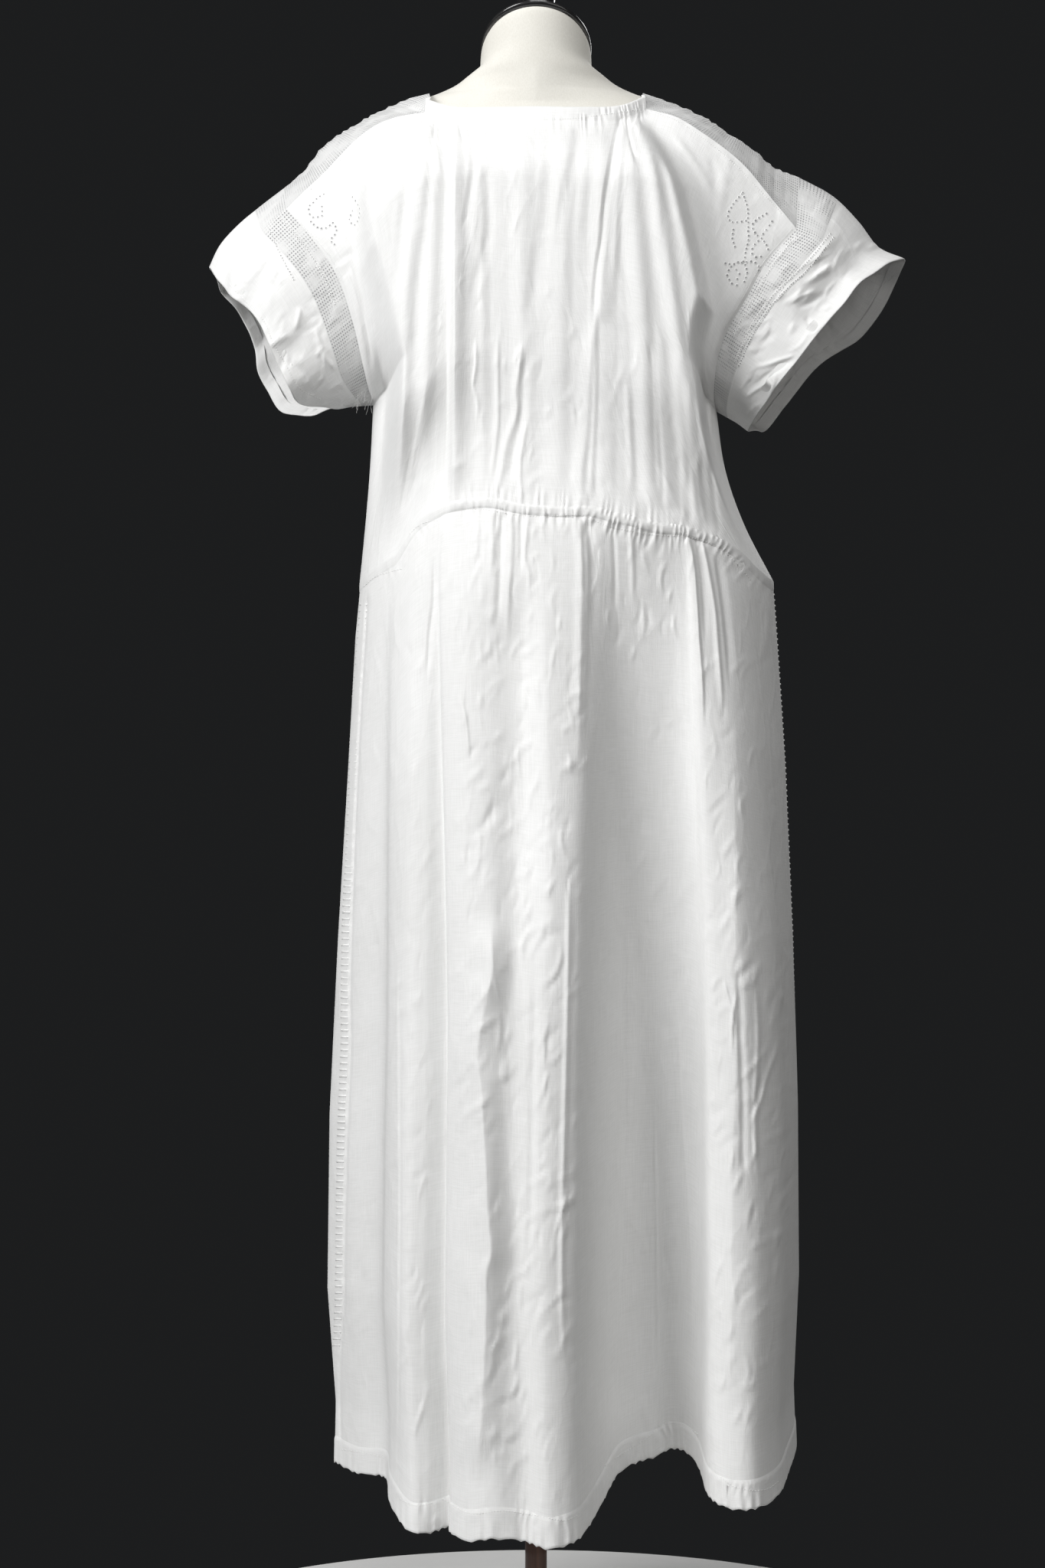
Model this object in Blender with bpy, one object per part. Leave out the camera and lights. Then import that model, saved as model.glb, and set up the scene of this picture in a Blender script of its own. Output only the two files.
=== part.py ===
"""A long linen dress, seen from behind in the photo, on a dress form. Metres, +Z up, -Y is the dress's back.

The cloth is one skin of grids that share their seam points. Each sewn piece is its own grid given a wall.
"""

import bpy
import numpy as np

WALL = 0.0012  # cloth wall
SEAM = 0.0002  # each piece stops this far short of a seam line
ARMHOLE_SEAM = 0.0006  # a sleeve band stops further off, because the underarm is a tight corner
CASING = 0.010  # height of the waist casing
HEM_BAND = 0.027  # depth of the turned hem
SHOULDER_ROWS = (4, 1)  # rows of a shoulder band along the bodice, and beside the neckband
ARMHOLE_ROWS, SIDE_ROWS, SKIRT_ROWS = 7, 4, 9
ACROSS_BAND = 4  # columns across a shoulder band
MM = 0.001

# Back skirt, left side seam to right side seam, as the photo shows its folds. Millimetres.
# share of half width at the waist, waist height, share at the hem, y at the hem, hem height, columns to next
BACK_LINES = (
    (-1.00, 1019, -1.000, 0, 182, 2),  # left side seam
    (-0.93, 1028, -0.894, -40, 179, 2),
    (-0.84, 1038, -0.764, -80, 183, 1),
    (-0.80, 1044, -0.735, -128, 170, 2),
    (-0.72, 1068, -0.657, -165, 153, 2),
    (-0.65, 1079, -0.580, -166, 150, 2),
    (-0.60, 1084, -0.496, -154, 154, 1),  # valley under the main fold
    (-0.57, 1087, -0.498, -182, 155, 1),  # edge of the main fold, over the valley
    (-0.48, 1090, -0.410, -205, 152, 2),
    (-0.36, 1091, -0.299, -215, 156, 2),
    (-0.22, 1085, -0.177, -210, 153, 2),
    (-0.11, 1083, -0.078, -220, 148, 2),
    (0.00, 1082, 0.024, -210, 152, 1),
    (0.08, 1083, 0.079, -185, 158, 1),  # right edge of the middle panel
    (0.14, 1081, 0.145, -150, 168, 2),
    (0.21, 1077, 0.227, -100, 185, 2),
    (0.29, 1074, 0.314, -70, 191, 2),
    (0.38, 1069, 0.396, -45, 196, 2),
    (0.47, 1067, 0.478, -32, 205, 2),  # deepest valley
    (0.55, 1067, 0.559, -52, 205, 1),
    (0.60, 1066, 0.622, -90, 193, 1),
    (0.64, 1064, 0.664, -135, 173, 2),  # left edge of the right ridge
    (0.70, 1060, 0.740, -157, 171, 2),
    (0.78, 1052, 0.839, -152, 171, 2),
    (0.85, 1040, 0.905, -125, 177, 1),
    (0.90, 1030, 0.945, -88, 190, 1),
    (0.96, 1022, 0.998, -40, 203, 1),
    (1.00, 1019, 1.000, 0, 208, 0),  # right side seam
)
# Front skirt, right side seam to left side seam, in the same columns. It is hidden, with plainer folds.
FRONT_LINES = (
    (1.00, 1019, 1.00, 0, 208, 2),
    (0.93, 1023, 0.97, 55, 200, 2),
    (0.80, 1034, 0.83, 118, 186, 3),
    (0.66, 1043, 0.68, 134, 178, 3),
    (0.54, 1049, 0.55, 104, 183, 3),
    (0.42, 1053, 0.42, 122, 178, 3),
    (0.28, 1057, 0.28, 176, 168, 3),
    (0.12, 1059, 0.12, 190, 165, 3),
    (-0.01, 1060, 0.00, 164, 169, 3),
    (-0.13, 1059, -0.12, 168, 168, 3),
    (-0.28, 1057, -0.28, 196, 165, 3),
    (-0.42, 1053, -0.42, 178, 168, 3),
    (-0.54, 1049, -0.55, 124, 179, 3),
    (-0.66, 1043, -0.68, 118, 180, 3),
    (-0.80, 1034, -0.84, 132, 176, 2),
    (-0.93, 1024, -0.97, 70, 180, 2),
    (-1.00, 1019, -1.00, 0, 182, 0),
)
# Skirt outline: share of the way from waist to hem, left edge, right edge. Millimetres.
SKIRT_EDGES = (
    (0.00, -170, 229),
    (0.05, -174, 232),
    (0.20, -181, 240),
    (0.40, -191, 247),
    (0.60, -199, 251),
    (0.80, -201, 252),
    (0.93, -193, 247),
    (1.00, -194, 249),
)
WAIST_BACK, WAIST_FRONT = 0.125, 0.135  # how far the waist stands off the side seams
FOLD_GROWTH = 0.62  # power by which the folds open from waist to hem

# Edges of the bodice, in millimetres, from the sleeve's top down the armhole to the underarm.
LEFT_ARMHOLE = ((-237, -50, 1381), (-213, -58, 1353), (-189, -60, 1317), (-173, -54, 1270),
                (-165, -40, 1234), (-160, -18, 1211), (-157, 0, 1200))
RIGHT_ARMHOLE = ((247, -50, 1362), (217, -60, 1327), (198, -60, 1293), (181, -57, 1265),
                 (173, -50, 1242), (170, -37, 1219), (171, -17, 1203), (174, 0, 1194))
# From the underarm down the side seam to the waist.
LEFT_SIDE = ((-157, 0, 1200), (-160, 0, 1140), (-164, 0, 1090), (-170, 0, 1029))
RIGHT_SIDE = ((174, 0, 1194), (182, 0, 1140), (200, 0, 1086), (229, 0, 1029))
# Back seam of a shoulder band, from the sleeve to the neck corner, then the end of the neckband.
LEFT_SHOULDER = ((-237, -50, 1381), (-218, -49, 1400), (-203, -48, 1414), (-187, -48, 1431),
                 (-171, -48, 1447), (-154, -47, 1460), (-136, -46, 1468), (-106, -43, 1474))
RIGHT_SHOULDER = ((247, -50, 1362), (221, -49, 1394), (199, -48, 1421), (181, -48, 1437),
                  (157, -48, 1454), (133, -46, 1469), (105, -43, 1477))
# Top of the shoulder band, its silhouette from behind, from the sleeve to the neck edge.
LEFT_CREST = ((-243, 4, 1410), (-231, 5, 1420), (-218, 5, 1434), (-207, 4, 1449), (-190, 3, 1461), (-163, 2, 1477),
              (-138, 0, 1489), (-120, 0, 1496), (-103, 0, 1500))
RIGHT_CREST = ((253, 4, 1421), (231, 5, 1430), (209, 4, 1448), (184, 3, 1463), (165, 2, 1476), (138, 0, 1488),
               (117, 0, 1496), (103, 0, 1500))
NECK_CORNER = 101, -38, 1489  # where the neckband's free edge meets a shoulder band
NECK_SEAM_BACK = ((-106, -43, 1474), (-80, -62, 1463), (-40, -75, 1460), (0, -78, 1460),
                  (40, -75, 1460), (80, -62, 1464), (105, -43, 1477))
NECK_SEAM_FRONT = ((-106, 43, 1474), (-83, 62, 1458), (-40, 78, 1446), (0, 82, 1443),
                   (40, 78, 1446), (83, 62, 1459), (105, 43, 1477))
NECKBAND = 0.0135  # height of the neckband

# Sleeve cuff edges as closed rings, from the underarm up the back, over the top, down the front.
LEFT_CUFF = ((-190, 0, 1198), (-226, -34, 1197), (-233, -50, 1208), (-247, -60, 1238),
             (-264, -59, 1274), (-279, -50, 1290), (-297, -34, 1307), (-315, 0, 1333),
             (-305, 32, 1314), (-288, 52, 1290), (-276, 60, 1263), (-273, 60, 1240),
             (-262, 54, 1219), (-247, 40, 1197), (-216, 22, 1194))
RIGHT_CUFF = ((206, 0, 1176), (207, -28, 1182), (214, -46, 1192), (232, -62, 1217),
              (251, -67, 1241), (281, -62, 1279), (313, -46, 1315), (342, -20, 1336), (356, 0, 1341),
              (354, 22, 1333), (344, 48, 1308), (317, 65, 1272), (283, 67, 1251), (245, 55, 1206),
              (224, 34, 1180))
SLEEVE_BAND = 0.34  # share of the sleeve that its openwork band takes
# How far a sleeve's top arches off a straight line: share of the way to the cuff, left, right. Millimetres.
SLEEVE_RISE = ((0, 0, 0), (0.30, 5, 6), (0.55, 8, 2), (0.80, 7, -6), (1, 0, 0))

# Bodice back. The cloth stands off between these two lines and falls back outside them. Millimetres.
# height, left line x, right line x
STAND_OFF = ((1460, -176, 112), (1400, -178, 141), (1330, -172, 158), (1260, -163, 173),
             (1190, -158, 186), (1110, -168, 206))
BACK_STANDS, FRONT_STANDS = -0.118, 0.128  # y of the bodice's middle
# Soft folds of the bodice: x at the neck, middle, waist; height at the neck, middle, waist; half width left, right
BODICE_FOLDS = (
    (-97, -122, -130, 2, 6, 3, 14, 12),
    (-90, -99, -106, 2, 6, 4, 10, 10),
    (-74, -76, -78, 2, 8, 7, 9, 24),  # the main fold, steep on its left
    (-55, -52, -50, 2, 4, 3, 14, 10),
    (-12, -14, -10, 1, 4, 2, 12, 12),
    (28, 24, 20, 1, 4, 3, 16, 9),
    (62, 60, 60, 2, 5, 4, 12, 14),
    (82, 96, 110, 2, 7, 4, 16, 12),
    (94, 128, 150, 2, 6, 5, 15, 11),
)

# Form: height, half width, back y, front y, exponent of the section. Millimetres.
TORSO = (
    (862, 128, -90, 88, 2.2), (874, 142, -101, 99, 2.2), (905, 147, -105, 104, 2.2),
    (945, 141, -103, 102, 2.2), (985, 130, -98, 97, 2.2), (1025, 119, -94, 94, 2.1),
    (1060, 114, -91, 93, 2.1), (1110, 119, -94, 101, 2.1), (1170, 134, -101, 116, 2.1),
    (1230, 144, -105, 125, 2.1), (1280, 149, -104, 121, 2.1), (1330, 155, -99, 110, 2.1),
    (1380, 163, -88, 94, 2.1), (1415, 171, -77, 81, 2.1), (1440, 174, -67, 71, 2.1),
    (1456, 172, -61, 64, 2.0), (1466, 166, -57, 60, 1.9), (1475, 156, -54, 56, 1.75),
    (1482, 145, -52, 54, 1.6), (1488, 131, -52, 53, 1.5), (1494, 113, -52, 53, 1.5),
    (1499, 97, -52, 53, 1.5), (1505, 81, -52, 53, 1.6), (1511, 69, -52, 53, 1.85),
    (1517, 57, -52, 53, 2.0), (1522, 54, -52, 53, 2.0), (1535, 53, -52, 53, 2.0),
    (1539, 51, -50, 51, 2.0),
)
AROUND_FORM = 32
NECK_SLOPE = 0.68  # the neck's cut face falls this much to the front
NECK_FOOT, NECK_TOP = 1.498, 1.539  # heights where the slope starts and where the cut face is, in the middle
# Height above the cut face or the cap, and radius, in millimetres.
CAP = ((0.4, 50.5), (1.6, 53.0), (4.0, 53.0), (5.5, 50.0), (6.5, 30.0))
KNOB = ((0, 8), (16, 8), (38, 8), (41, 16), (42.5, 18), (49, 18), (51, 15.5), (58, 16.5), (64, 13), (66, 6))
KNOB_FOOT = 0.016  # the part of the knob's stem that takes up the slope


def smooth(x):
    x = np.clip(x, 0, 1)
    return x * x * (3 - 2 * x)


def curve(points, shares, closed=False):
    """Smooth curve through the points, at these shares of its length."""
    p = np.asarray(points, float)
    if closed:
        p = np.vstack([p[-1:], p, p[:2]])
    else:
        p = np.vstack([2 * p[0] - p[1], p, 2 * p[-1] - p[-2]])
    knots = np.concatenate([[0], np.cumsum(np.linalg.norm(np.diff(p, axis=0), axis=1) ** 0.75)])
    fine = []
    for i in range(1, len(p) - 2):
        k = knots[i - 1:i + 3]
        for t in np.linspace(k[1], k[2], 24, endpoint=i == len(p) - 3):
            a = [((k[j + 1] - t) * p[i - 1 + j] + (t - k[j]) * p[i + j]) / (k[j + 1] - k[j]) for j in range(3)]
            b = [((k[j + 2] - t) * a[j] + (t - k[j]) * a[j + 1]) / (k[j + 2] - k[j]) for j in range(2)]
            fine.append(((k[2] - t) * b[0] + (t - k[1]) * b[1]) / (k[2] - k[1]))
    fine = np.array(fine)
    length = np.concatenate([[0], np.cumsum(np.linalg.norm(np.diff(fine, axis=0), axis=1))])
    at = np.asarray(shares) * length[-1]
    return np.stack([np.interp(at, length, fine[:, k]) for k in range(fine.shape[1])], axis=-1)


def through(rows, columns):
    """Smooth values of each column of a table at fractional row numbers."""
    p = np.asarray(rows, float)
    p = np.vstack([2 * p[0] - p[1], p, 2 * p[-1] - p[-2]])
    i = np.minimum(np.floor(columns).astype(int), len(p) - 4)
    t = (np.asarray(columns) - i)[:, None]
    a, b, c, d = p[i], p[i + 1], p[i + 2], p[i + 3]
    return b + t / 2 * (c - a) + t * t * (a - 2.5 * b + 2 * c - d / 2) + t ** 3 * (1.5 * (b - c) + (d - a) / 2)


def columns_of(lines):
    """Fractional row numbers of a table of lines, by how many columns each row asks for."""
    return np.array([i + k / row[5] for i, row in enumerate(lines[:-1]) for k in range(row[5])]
                    + [len(lines) - 1.0])


def patch(top, bottom, left, right):
    """Grid of points, rows from top to bottom, that fills four edges."""
    n, m = len(top), len(left)
    u, v = np.linspace(0, 1, n)[None, :, None], np.linspace(0, 1, m)[:, None, None]
    sides = left[:, None] * (1 - u) + right[:, None] * u
    ends = top[None] * (1 - v) + bottom[None] * v
    corners = (top[0] * (1 - u) * (1 - v) + top[-1] * u * (1 - v)
               + bottom[0] * (1 - u) * v + bottom[-1] * u * v)
    return sides + ends - corners


def skirt_point(line, down, side):
    """Points of one skirt row: the columns' line values and the share of the way down."""
    waist_share, waist_z, hem_share, hem_y, hem_z = line.T[:5]
    edges = np.array(SKIRT_EDGES) * (1, MM, MM)
    low, high = (np.interp(down, edges[:, 0], edges[:, k]) for k in (1, 2))
    share = waist_share + (hem_share - waist_share) * smooth(down * 1.6 + 0.02)
    stands = WAIST_BACK if side < 0 else WAIST_FRONT
    waist_y = side * stands * np.sqrt(np.clip(1 - np.abs(waist_share) ** 2.2, 0, 1))
    open_ = down ** FOLD_GROWTH
    y = waist_y * (1 - open_) + hem_y * MM * open_
    z = (waist_z * (1 - down) + hem_z * down) * MM
    return np.stack([(low + high) / 2 + share * (high - low) / 2, y, z], axis=1)


def skirt(lines, side):
    """(casing, skirt, hem) grids of one half of the dress."""
    line = through([row[:5] for row in lines], columns_of(lines))
    length = 0.90
    downs = np.linspace(0, 1 - HEM_BAND / length, SKIRT_ROWS + 1)
    body = np.stack([skirt_point(line, d, side) for d in downs])
    band = np.stack([body[-1], skirt_point(line, 1.0, side)])
    top = body[0] + (0, 0, CASING)
    return np.stack([top, body[0]]), body, band


def bodice(top, waist, left, right, side):
    grid = patch(top, waist, left, right)
    x, z = grid[..., 0], grid[..., 2]
    rows = np.linspace(0, 1, len(grid))[:, None]
    table = np.array(STAND_OFF[::-1]) * MM
    low, high = (np.interp(z, table[:, 0], table[:, k]) for k in (1, 2))
    low, high = np.maximum(low, x[:, :1] + 0.012), np.minimum(high, x[:, -1:] - 0.012)
    inside = smooth((x - low) / 0.028) * smooth((high - x) / 0.028)
    ramp = smooth(rows / 0.22) * smooth((1 - rows) / 0.3)
    stands = BACK_STANDS if side < 0 else FRONT_STANDS
    goal = stands + 0.018 * side * -1 * ((x - 0.01) / 0.17) ** 2
    grid[..., 1] += ramp * inside * (goal - grid[..., 1])
    if side < 0:
        for row in BODICE_FOLDS:
            at = np.interp(rows, (0, 0.45, 1), np.array(row[:3]) * MM)
            high = np.interp(rows, (0, 0.45, 1), np.array(row[3:6]) * MM)
            away = x - at
            width = np.where(away < 0, row[6], row[7]) * MM
            rise = smooth(1 - np.abs(away) / width) * high * smooth(rows / 0.08) * smooth((1 - rows) / 0.08)
            grid[..., 1] -= rise
    return grid


def mirrored_back(points):
    """Armhole or shoulder points on the front side of the dress."""
    return [(x, -y, z) for x, y, z in points]


def sleeve(armhole, cuff_points, rises, rows):
    """Grids of the sleeve band and sleeve, from the armhole ring outwards."""
    steps = np.concatenate([[0], np.cumsum(np.linalg.norm(np.diff(armhole, axis=0), axis=1))])
    cuff = curve(cuff_points, steps / steps[-1], closed=True)
    middle = (armhole[:-1].mean(0) + cuff[:-1].mean(0)) / 2
    axis = cuff[:-1].mean(0) - armhole[:-1].mean(0)
    axis /= np.linalg.norm(axis)
    grids = []
    for first, last, count in rows:
        points = []
        for t in np.linspace(first, last, count + 1):
            ring = armhole * (1 - t) + cuff * t
            out = ring - middle
            out -= (out @ axis)[:, None] * axis
            size = np.linalg.norm(out, axis=1)[:, None]
            upper = smooth((out[:, 2:3] / size + 0.2) / 0.9)
            rise = np.interp(t, *np.transpose([(row[0], row[rises] * MM) for row in SLEEVE_RISE]))
            points.append(ring + out / size * rise * upper)
        grids.append(np.stack(points))
    return grids


def scaled(points):
    return np.asarray(points, float) * MM


def dress_grids():
    """Every cloth piece as a grid of points: name, grid, closed round or not, sign that turns it outwards."""
    back_casing, back_skirt, back_hem = skirt(BACK_LINES, -1)
    front_casing, front_skirt, front_hem = skirt(FRONT_LINES, 1)
    count = len(back_casing[0]) - 1
    front_casing[:, 0], front_casing[:, -1] = back_casing[:, -1], back_casing[:, 0]
    front_skirt[:, 0], front_skirt[:, -1] = back_skirt[:, -1], back_skirt[:, 0]
    front_hem[:, 0], front_hem[:, -1] = back_hem[:, -1], back_hem[:, 0]

    band, end = SHOULDER_ROWS
    neck_columns = count - 2 * band
    arm, side = np.linspace(0, 1, ARMHOLE_ROWS + 1), np.linspace(0, 1, SIDE_ROWS + 1)
    along, neck = np.linspace(0, 1, band + 1), np.linspace(0, 1, neck_columns + 1)
    left_side, right_side = curve(scaled(LEFT_SIDE), side), curve(scaled(RIGHT_SIDE), side)
    left_side[-1], right_side[-1] = back_casing[0, 0], back_casing[0, -1]

    def edges(turn):
        left = np.vstack([curve(scaled(turn(LEFT_ARMHOLE)), arm)[:-1], left_side])
        right = np.vstack([curve(scaled(turn(RIGHT_ARMHOLE)), arm)[:-1], right_side])
        shoulders = [curve(scaled(turn(p)), along) for p in (LEFT_SHOULDER, RIGHT_SHOULDER)]
        return left, right, shoulders

    left, right, (left_shoulder, right_shoulder) = edges(lambda p: p)
    left_f, right_f, (left_shoulder_f, right_shoulder_f) = edges(mirrored_back)
    neck_back, neck_front = curve(scaled(NECK_SEAM_BACK), neck), curve(scaled(NECK_SEAM_FRONT), neck)
    neck_front[0], neck_front[-1] = left_shoulder_f[-1], right_shoulder_f[-1]
    top = np.vstack([left_shoulder[:-1], neck_back, right_shoulder[-2::-1]])
    top_f = np.vstack([left_shoulder_f[:-1], neck_front, right_shoulder_f[-2::-1]])
    back = bodice(top, back_casing[0], left, right, -1)
    front = bodice(top_f, front_casing[0, ::-1], left_f, right_f, 1)

    x, y, z = (v * MM for v in NECK_CORNER)
    rise = np.linspace(0, 1, 2)[:, None, None]

    def neckband(seam, way):
        lean = np.zeros_like(seam)
        lean[:, 1] = -0.35 * seam[:, 1]
        up = seam + (0, 0, NECKBAND) + lean * 0.16
        up[0], up[-1] = (-x, way * y, z), (x, way * y, z + 2 * MM)
        return seam[None] * (1 - rise) + up[None] * rise

    back_band, front_band = neckband(neck_back, 1), neckband(neck_front, -1)

    def shoulder(seam, seam_f, crest, band_end, band_end_f):
        back_edge = np.vstack([seam, band_end[1:]])
        front_edge = np.vstack([seam_f, band_end_f[1:]])
        middle = curve(scaled(crest), np.linspace(0, 1, len(back_edge)))
        half = ACROSS_BAND // 2
        sections = []
        for a, m, b in zip(back_edge, middle, front_edge):
            shares = np.linspace(0, 1, ACROSS_BAND + 1)
            p = curve([a, (a + m) / 2 + (m - (a + b) / 2) * 0.16, m, (b + m) / 2 + (m - (a + b) / 2) * 0.16, b], shares)
            p[0], p[half], p[-1] = a, m, b
            sections.append(p)
        return np.stack(sections)

    left_band = shoulder(left_shoulder, left_shoulder_f, LEFT_CREST, back_band[:, 0], front_band[:, 0])
    right_band = shoulder(right_shoulder, right_shoulder_f, RIGHT_CREST, back_band[:, -1], front_band[:, -1])

    def ring(armhole, armhole_f, band_grid):
        back_up, front_down = armhole[ARMHOLE_ROWS::-1], armhole_f[:ARMHOLE_ROWS + 1]
        return np.vstack([back_up, band_grid[0, 1:-1], front_down])

    rows = ((0, SLEEVE_BAND, 2), (SLEEVE_BAND, 1, 4))
    left_sleeve = sleeve(ring(left, left_f, left_band), scaled(LEFT_CUFF), 1, rows)
    right_sleeve = sleeve(ring(right, right_f, right_band), scaled(RIGHT_CUFF), 2, rows)
    return (
        ("back_bodice", back, False, 1), ("front_bodice", front, False, -1),
        ("back_waist_casing", back_casing, False, 1), ("front_waist_casing", front_casing, False, 1),
        ("back_skirt", back_skirt, False, 1), ("front_skirt", front_skirt, False, 1),
        ("back_hem", back_hem, False, 1), ("front_hem", front_hem, False, 1),
        ("back_neckband", back_band[::-1], False, 1), ("front_neckband", front_band[::-1], False, -1),
        ("left_shoulder_band", left_band, False, 1), ("right_shoulder_band", right_band, False, -1),
        ("left_sleeve_band", left_sleeve[0], True, -1), ("left_sleeve", left_sleeve[1], True, -1),
        ("right_sleeve_band", right_sleeve[0], True, 1), ("right_sleeve", right_sleeve[1], True, 1),
    )


def faces_of(grid, around, columns, sign, start):
    """Triangles of a grid, split along each quad's shorter diagonal. A sign of 1 faces -Y when columns go to +X."""
    triangles = []
    flat = grid.reshape(-1, 3)
    for r in range(len(grid) - 1):
        for c in range(columns):
            n = (c + 1) % around
            a, b, d, e = r * around + c, (r + 1) * around + c, (r + 1) * around + n, r * around + n
            if np.linalg.norm(flat[a] - flat[d]) < np.linalg.norm(flat[b] - flat[e]):
                pair = (a, b, d), (a, d, e)
            else:
                pair = (a, b, e), (b, d, e)
            triangles += [tuple(start + i for i in (t if sign > 0 else t[::-1])) for t in pair]
    return triangles


def shared_normals(pieces):
    """Unit normals of all grids together, so that two pieces offset a seam point the same way."""
    total = {}

    def key(p):
        return tuple(np.round(p * 1e5).astype(int))

    for _, grid, _, sign in pieces:
        for r in range(grid.shape[0] - 1):
            for c in range(grid.shape[1] - 1):
                a, b, d, e = grid[r, c], grid[r + 1, c], grid[r + 1, c + 1], grid[r, c + 1]
                normal = np.cross(b - e, d - a) * sign
                normal /= max(np.linalg.norm(normal), 1e-9) ** 0.5
                for p in (a, b, d, e):
                    total[key(p)] = total.get(key(p), 0) + normal
    return [np.array([[total[key(p)] / np.linalg.norm(total[key(p)]) for p in row] for row in grid])
            for _, grid, _, _ in pieces]


def inwards(rim, inner, closed=False):
    """Unit steps off a rim, along the cloth and square to the rim."""
    along = np.roll(rim, -1, 0) - np.roll(rim, 1, 0) if closed else np.gradient(rim, axis=0)
    along /= np.linalg.norm(along, axis=1)[:, None]
    way = inner - rim
    way -= (way * along).sum(axis=1)[:, None] * along
    return way / np.linalg.norm(way, axis=1)[:, None]


def pulled_in(grid, closed, first):
    """The grid with its rims moved inwards along the cloth, its first row by its own amount."""
    moves = np.zeros_like(grid)
    for at, to, by in ((0, 1, first), (-1, -2, SEAM)):
        moves[at] += inwards(grid[at], grid[to], closed) * by
        if not closed:
            moves[:, at] += inwards(grid[:, at], grid[:, to]) * SEAM
    return grid + moves


def mesh_object(name, points, quads, colour):
    mesh = bpy.data.meshes.new(name)
    mesh.from_pydata([tuple(p) for p in points], [], quads)
    mesh.validate()
    obj = bpy.data.objects.new(name, mesh)
    bpy.context.scene.collection.objects.link(obj)
    material = bpy.data.materials.new(name)
    material.use_nodes = True
    material.node_tree.nodes["Principled BSDF"].inputs["Base Color"].default_value = (*colour, 1)
    material.node_tree.nodes["Principled BSDF"].inputs["Roughness"].default_value = 0.8
    material.diffuse_color = (*colour, 1)
    mesh.materials.append(material)
    return obj


def wall_object(name, grid, normals, closed, sign, colour):
    """A grid with a wall, as one closed mesh."""
    if closed:
        grid, normals = grid[:, :-1], normals[:, :-1]
    grid = pulled_in(grid, closed, ARMHOLE_SEAM if name.endswith("sleeve_band") else SEAM)
    rows, around = grid.shape[0] - 1, grid.shape[1]
    columns = around if closed else around - 1
    count = grid.shape[0] * around
    outer, inner = (grid + normals * WALL / 2).reshape(-1, 3), (grid - normals * WALL / 2).reshape(-1, 3)
    quads = faces_of(grid, around, columns, sign, 0) + faces_of(grid, around, columns, -sign, count)

    def join(a, b, flip):
        quad = (a, b, b + count, a + count)
        quads.append(quad if flip == (sign > 0) else quad[::-1])

    for c in range(columns):
        n = (c + 1) % around
        join(c, n, True)
        join(rows * around + c, rows * around + n, False)
    if not closed:
        for r in range(rows):
            join(r * around, (r + 1) * around, False)
            join(r * around + columns, (r + 1) * around + columns, True)
    return mesh_object(name, np.vstack([outer, inner]), quads, colour)


def ring_points(half_width, back, front, exponent, z, count=AROUND_FORM):
    angles = np.linspace(0, 2 * np.pi, count, endpoint=False)
    c, s = np.cos(angles), np.sin(angles)
    x = half_width * np.sign(c) * np.abs(c) ** (2 / exponent)
    depth = np.where(s < 0, -back, front)
    y = depth * np.sign(s) * np.abs(s) ** (2 / exponent)
    return np.stack([x, y, np.full(count, z)], axis=1)


def solid_of_rings(name, rings, colour):
    """Rings joined from bottom to top, with flat ends."""
    count = len(rings[0])
    quads = [tuple(reversed(range(count))), tuple((len(rings) - 1) * count + i for i in range(count))]
    for r in range(len(rings) - 1):
        for c in range(count):
            n = (c + 1) % count
            quads.append((r * count + c, r * count + n, (r + 1) * count + n, (r + 1) * count + c))
    return mesh_object(name, np.vstack(rings), quads, colour)


def sloped(ring):
    """A ring with its front lowered, as the neck's cut face is."""
    ring = ring.copy()
    ring[:, 2] -= NECK_SLOPE * ring[:, 1] * np.clip((ring[:, 2] - NECK_FOOT) / (NECK_TOP - NECK_FOOT), 0, 1)
    return ring


def build_form():
    cloth, dark, wood = (0.80, 0.77, 0.70), (0.02, 0.02, 0.02), (0.10, 0.045, 0.025)
    torso = [sloped(ring_points(w * MM, b * MM, f * MM, e, z * MM)) for z, w, b, f, e in TORSO]
    solid_of_rings("form_torso", torso, cloth)
    cap = []
    for up, size in scaled(CAP):
        ring = sloped(ring_points(size, -size * 0.98, size * 0.98, 2.0, NECK_TOP))
        cap.append(ring + (0, 0, up))
    solid_of_rings("neck_cap", cap, dark)
    top = NECK_TOP + CAP[-1][0] * MM + 0.0003
    knob = []
    for up, size in scaled(KNOB):
        ring = ring_points(size, -size, size, 2.0, 0, 28)
        ring[:, 2] = top + up - NECK_SLOPE * ring[:, 1] * max(0, 1 - up / KNOB_FOOT)
        knob.append(ring)
    solid_of_rings("neck_knob", knob, dark)
    pole = [ring_points(0.0105, -0.0105, 0.0105, 2.0, z, 24) for z in (0.0283, 0.8617)]
    solid_of_rings("stand_pole", pole, wood)
    base = [ring_points(r, -r, r, 2.0, z, 40)
            for z, r in ((0, 0.160), (0.003, 0.165), (0.014, 0.165), (0.020, 0.160), (0.024, 0.140), (0.028, 0.050))]
    solid_of_rings("stand_base", base, wood)


def build_dress():
    pieces = dress_grids()
    for (name, grid, closed, sign), normals in zip(pieces, shared_normals(pieces)):
        wall_object(name, grid, normals, closed, sign, (0.86, 0.86, 0.85))


def main():
    for old in list(bpy.data.objects):
        bpy.data.objects.remove(old)
    build_dress()
    build_form()


main()
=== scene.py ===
"""The linen dress and its form, dressed for the render. Metres, +Z up, the dress's back faces -Y.

The cloth is made again as fine grids, and then gets its creases, gathers and stitching. The grids follow the
solids' lines, but the back skirt's folds were moved here to match the photo, by up to 22 mm from the solid.
Places that the photo shows are written in pixels of a picture 1365 wide and 2048 high.
"""

import bpy
import numpy as np
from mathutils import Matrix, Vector
from mathutils.bvhtree import BVHTree

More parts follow.
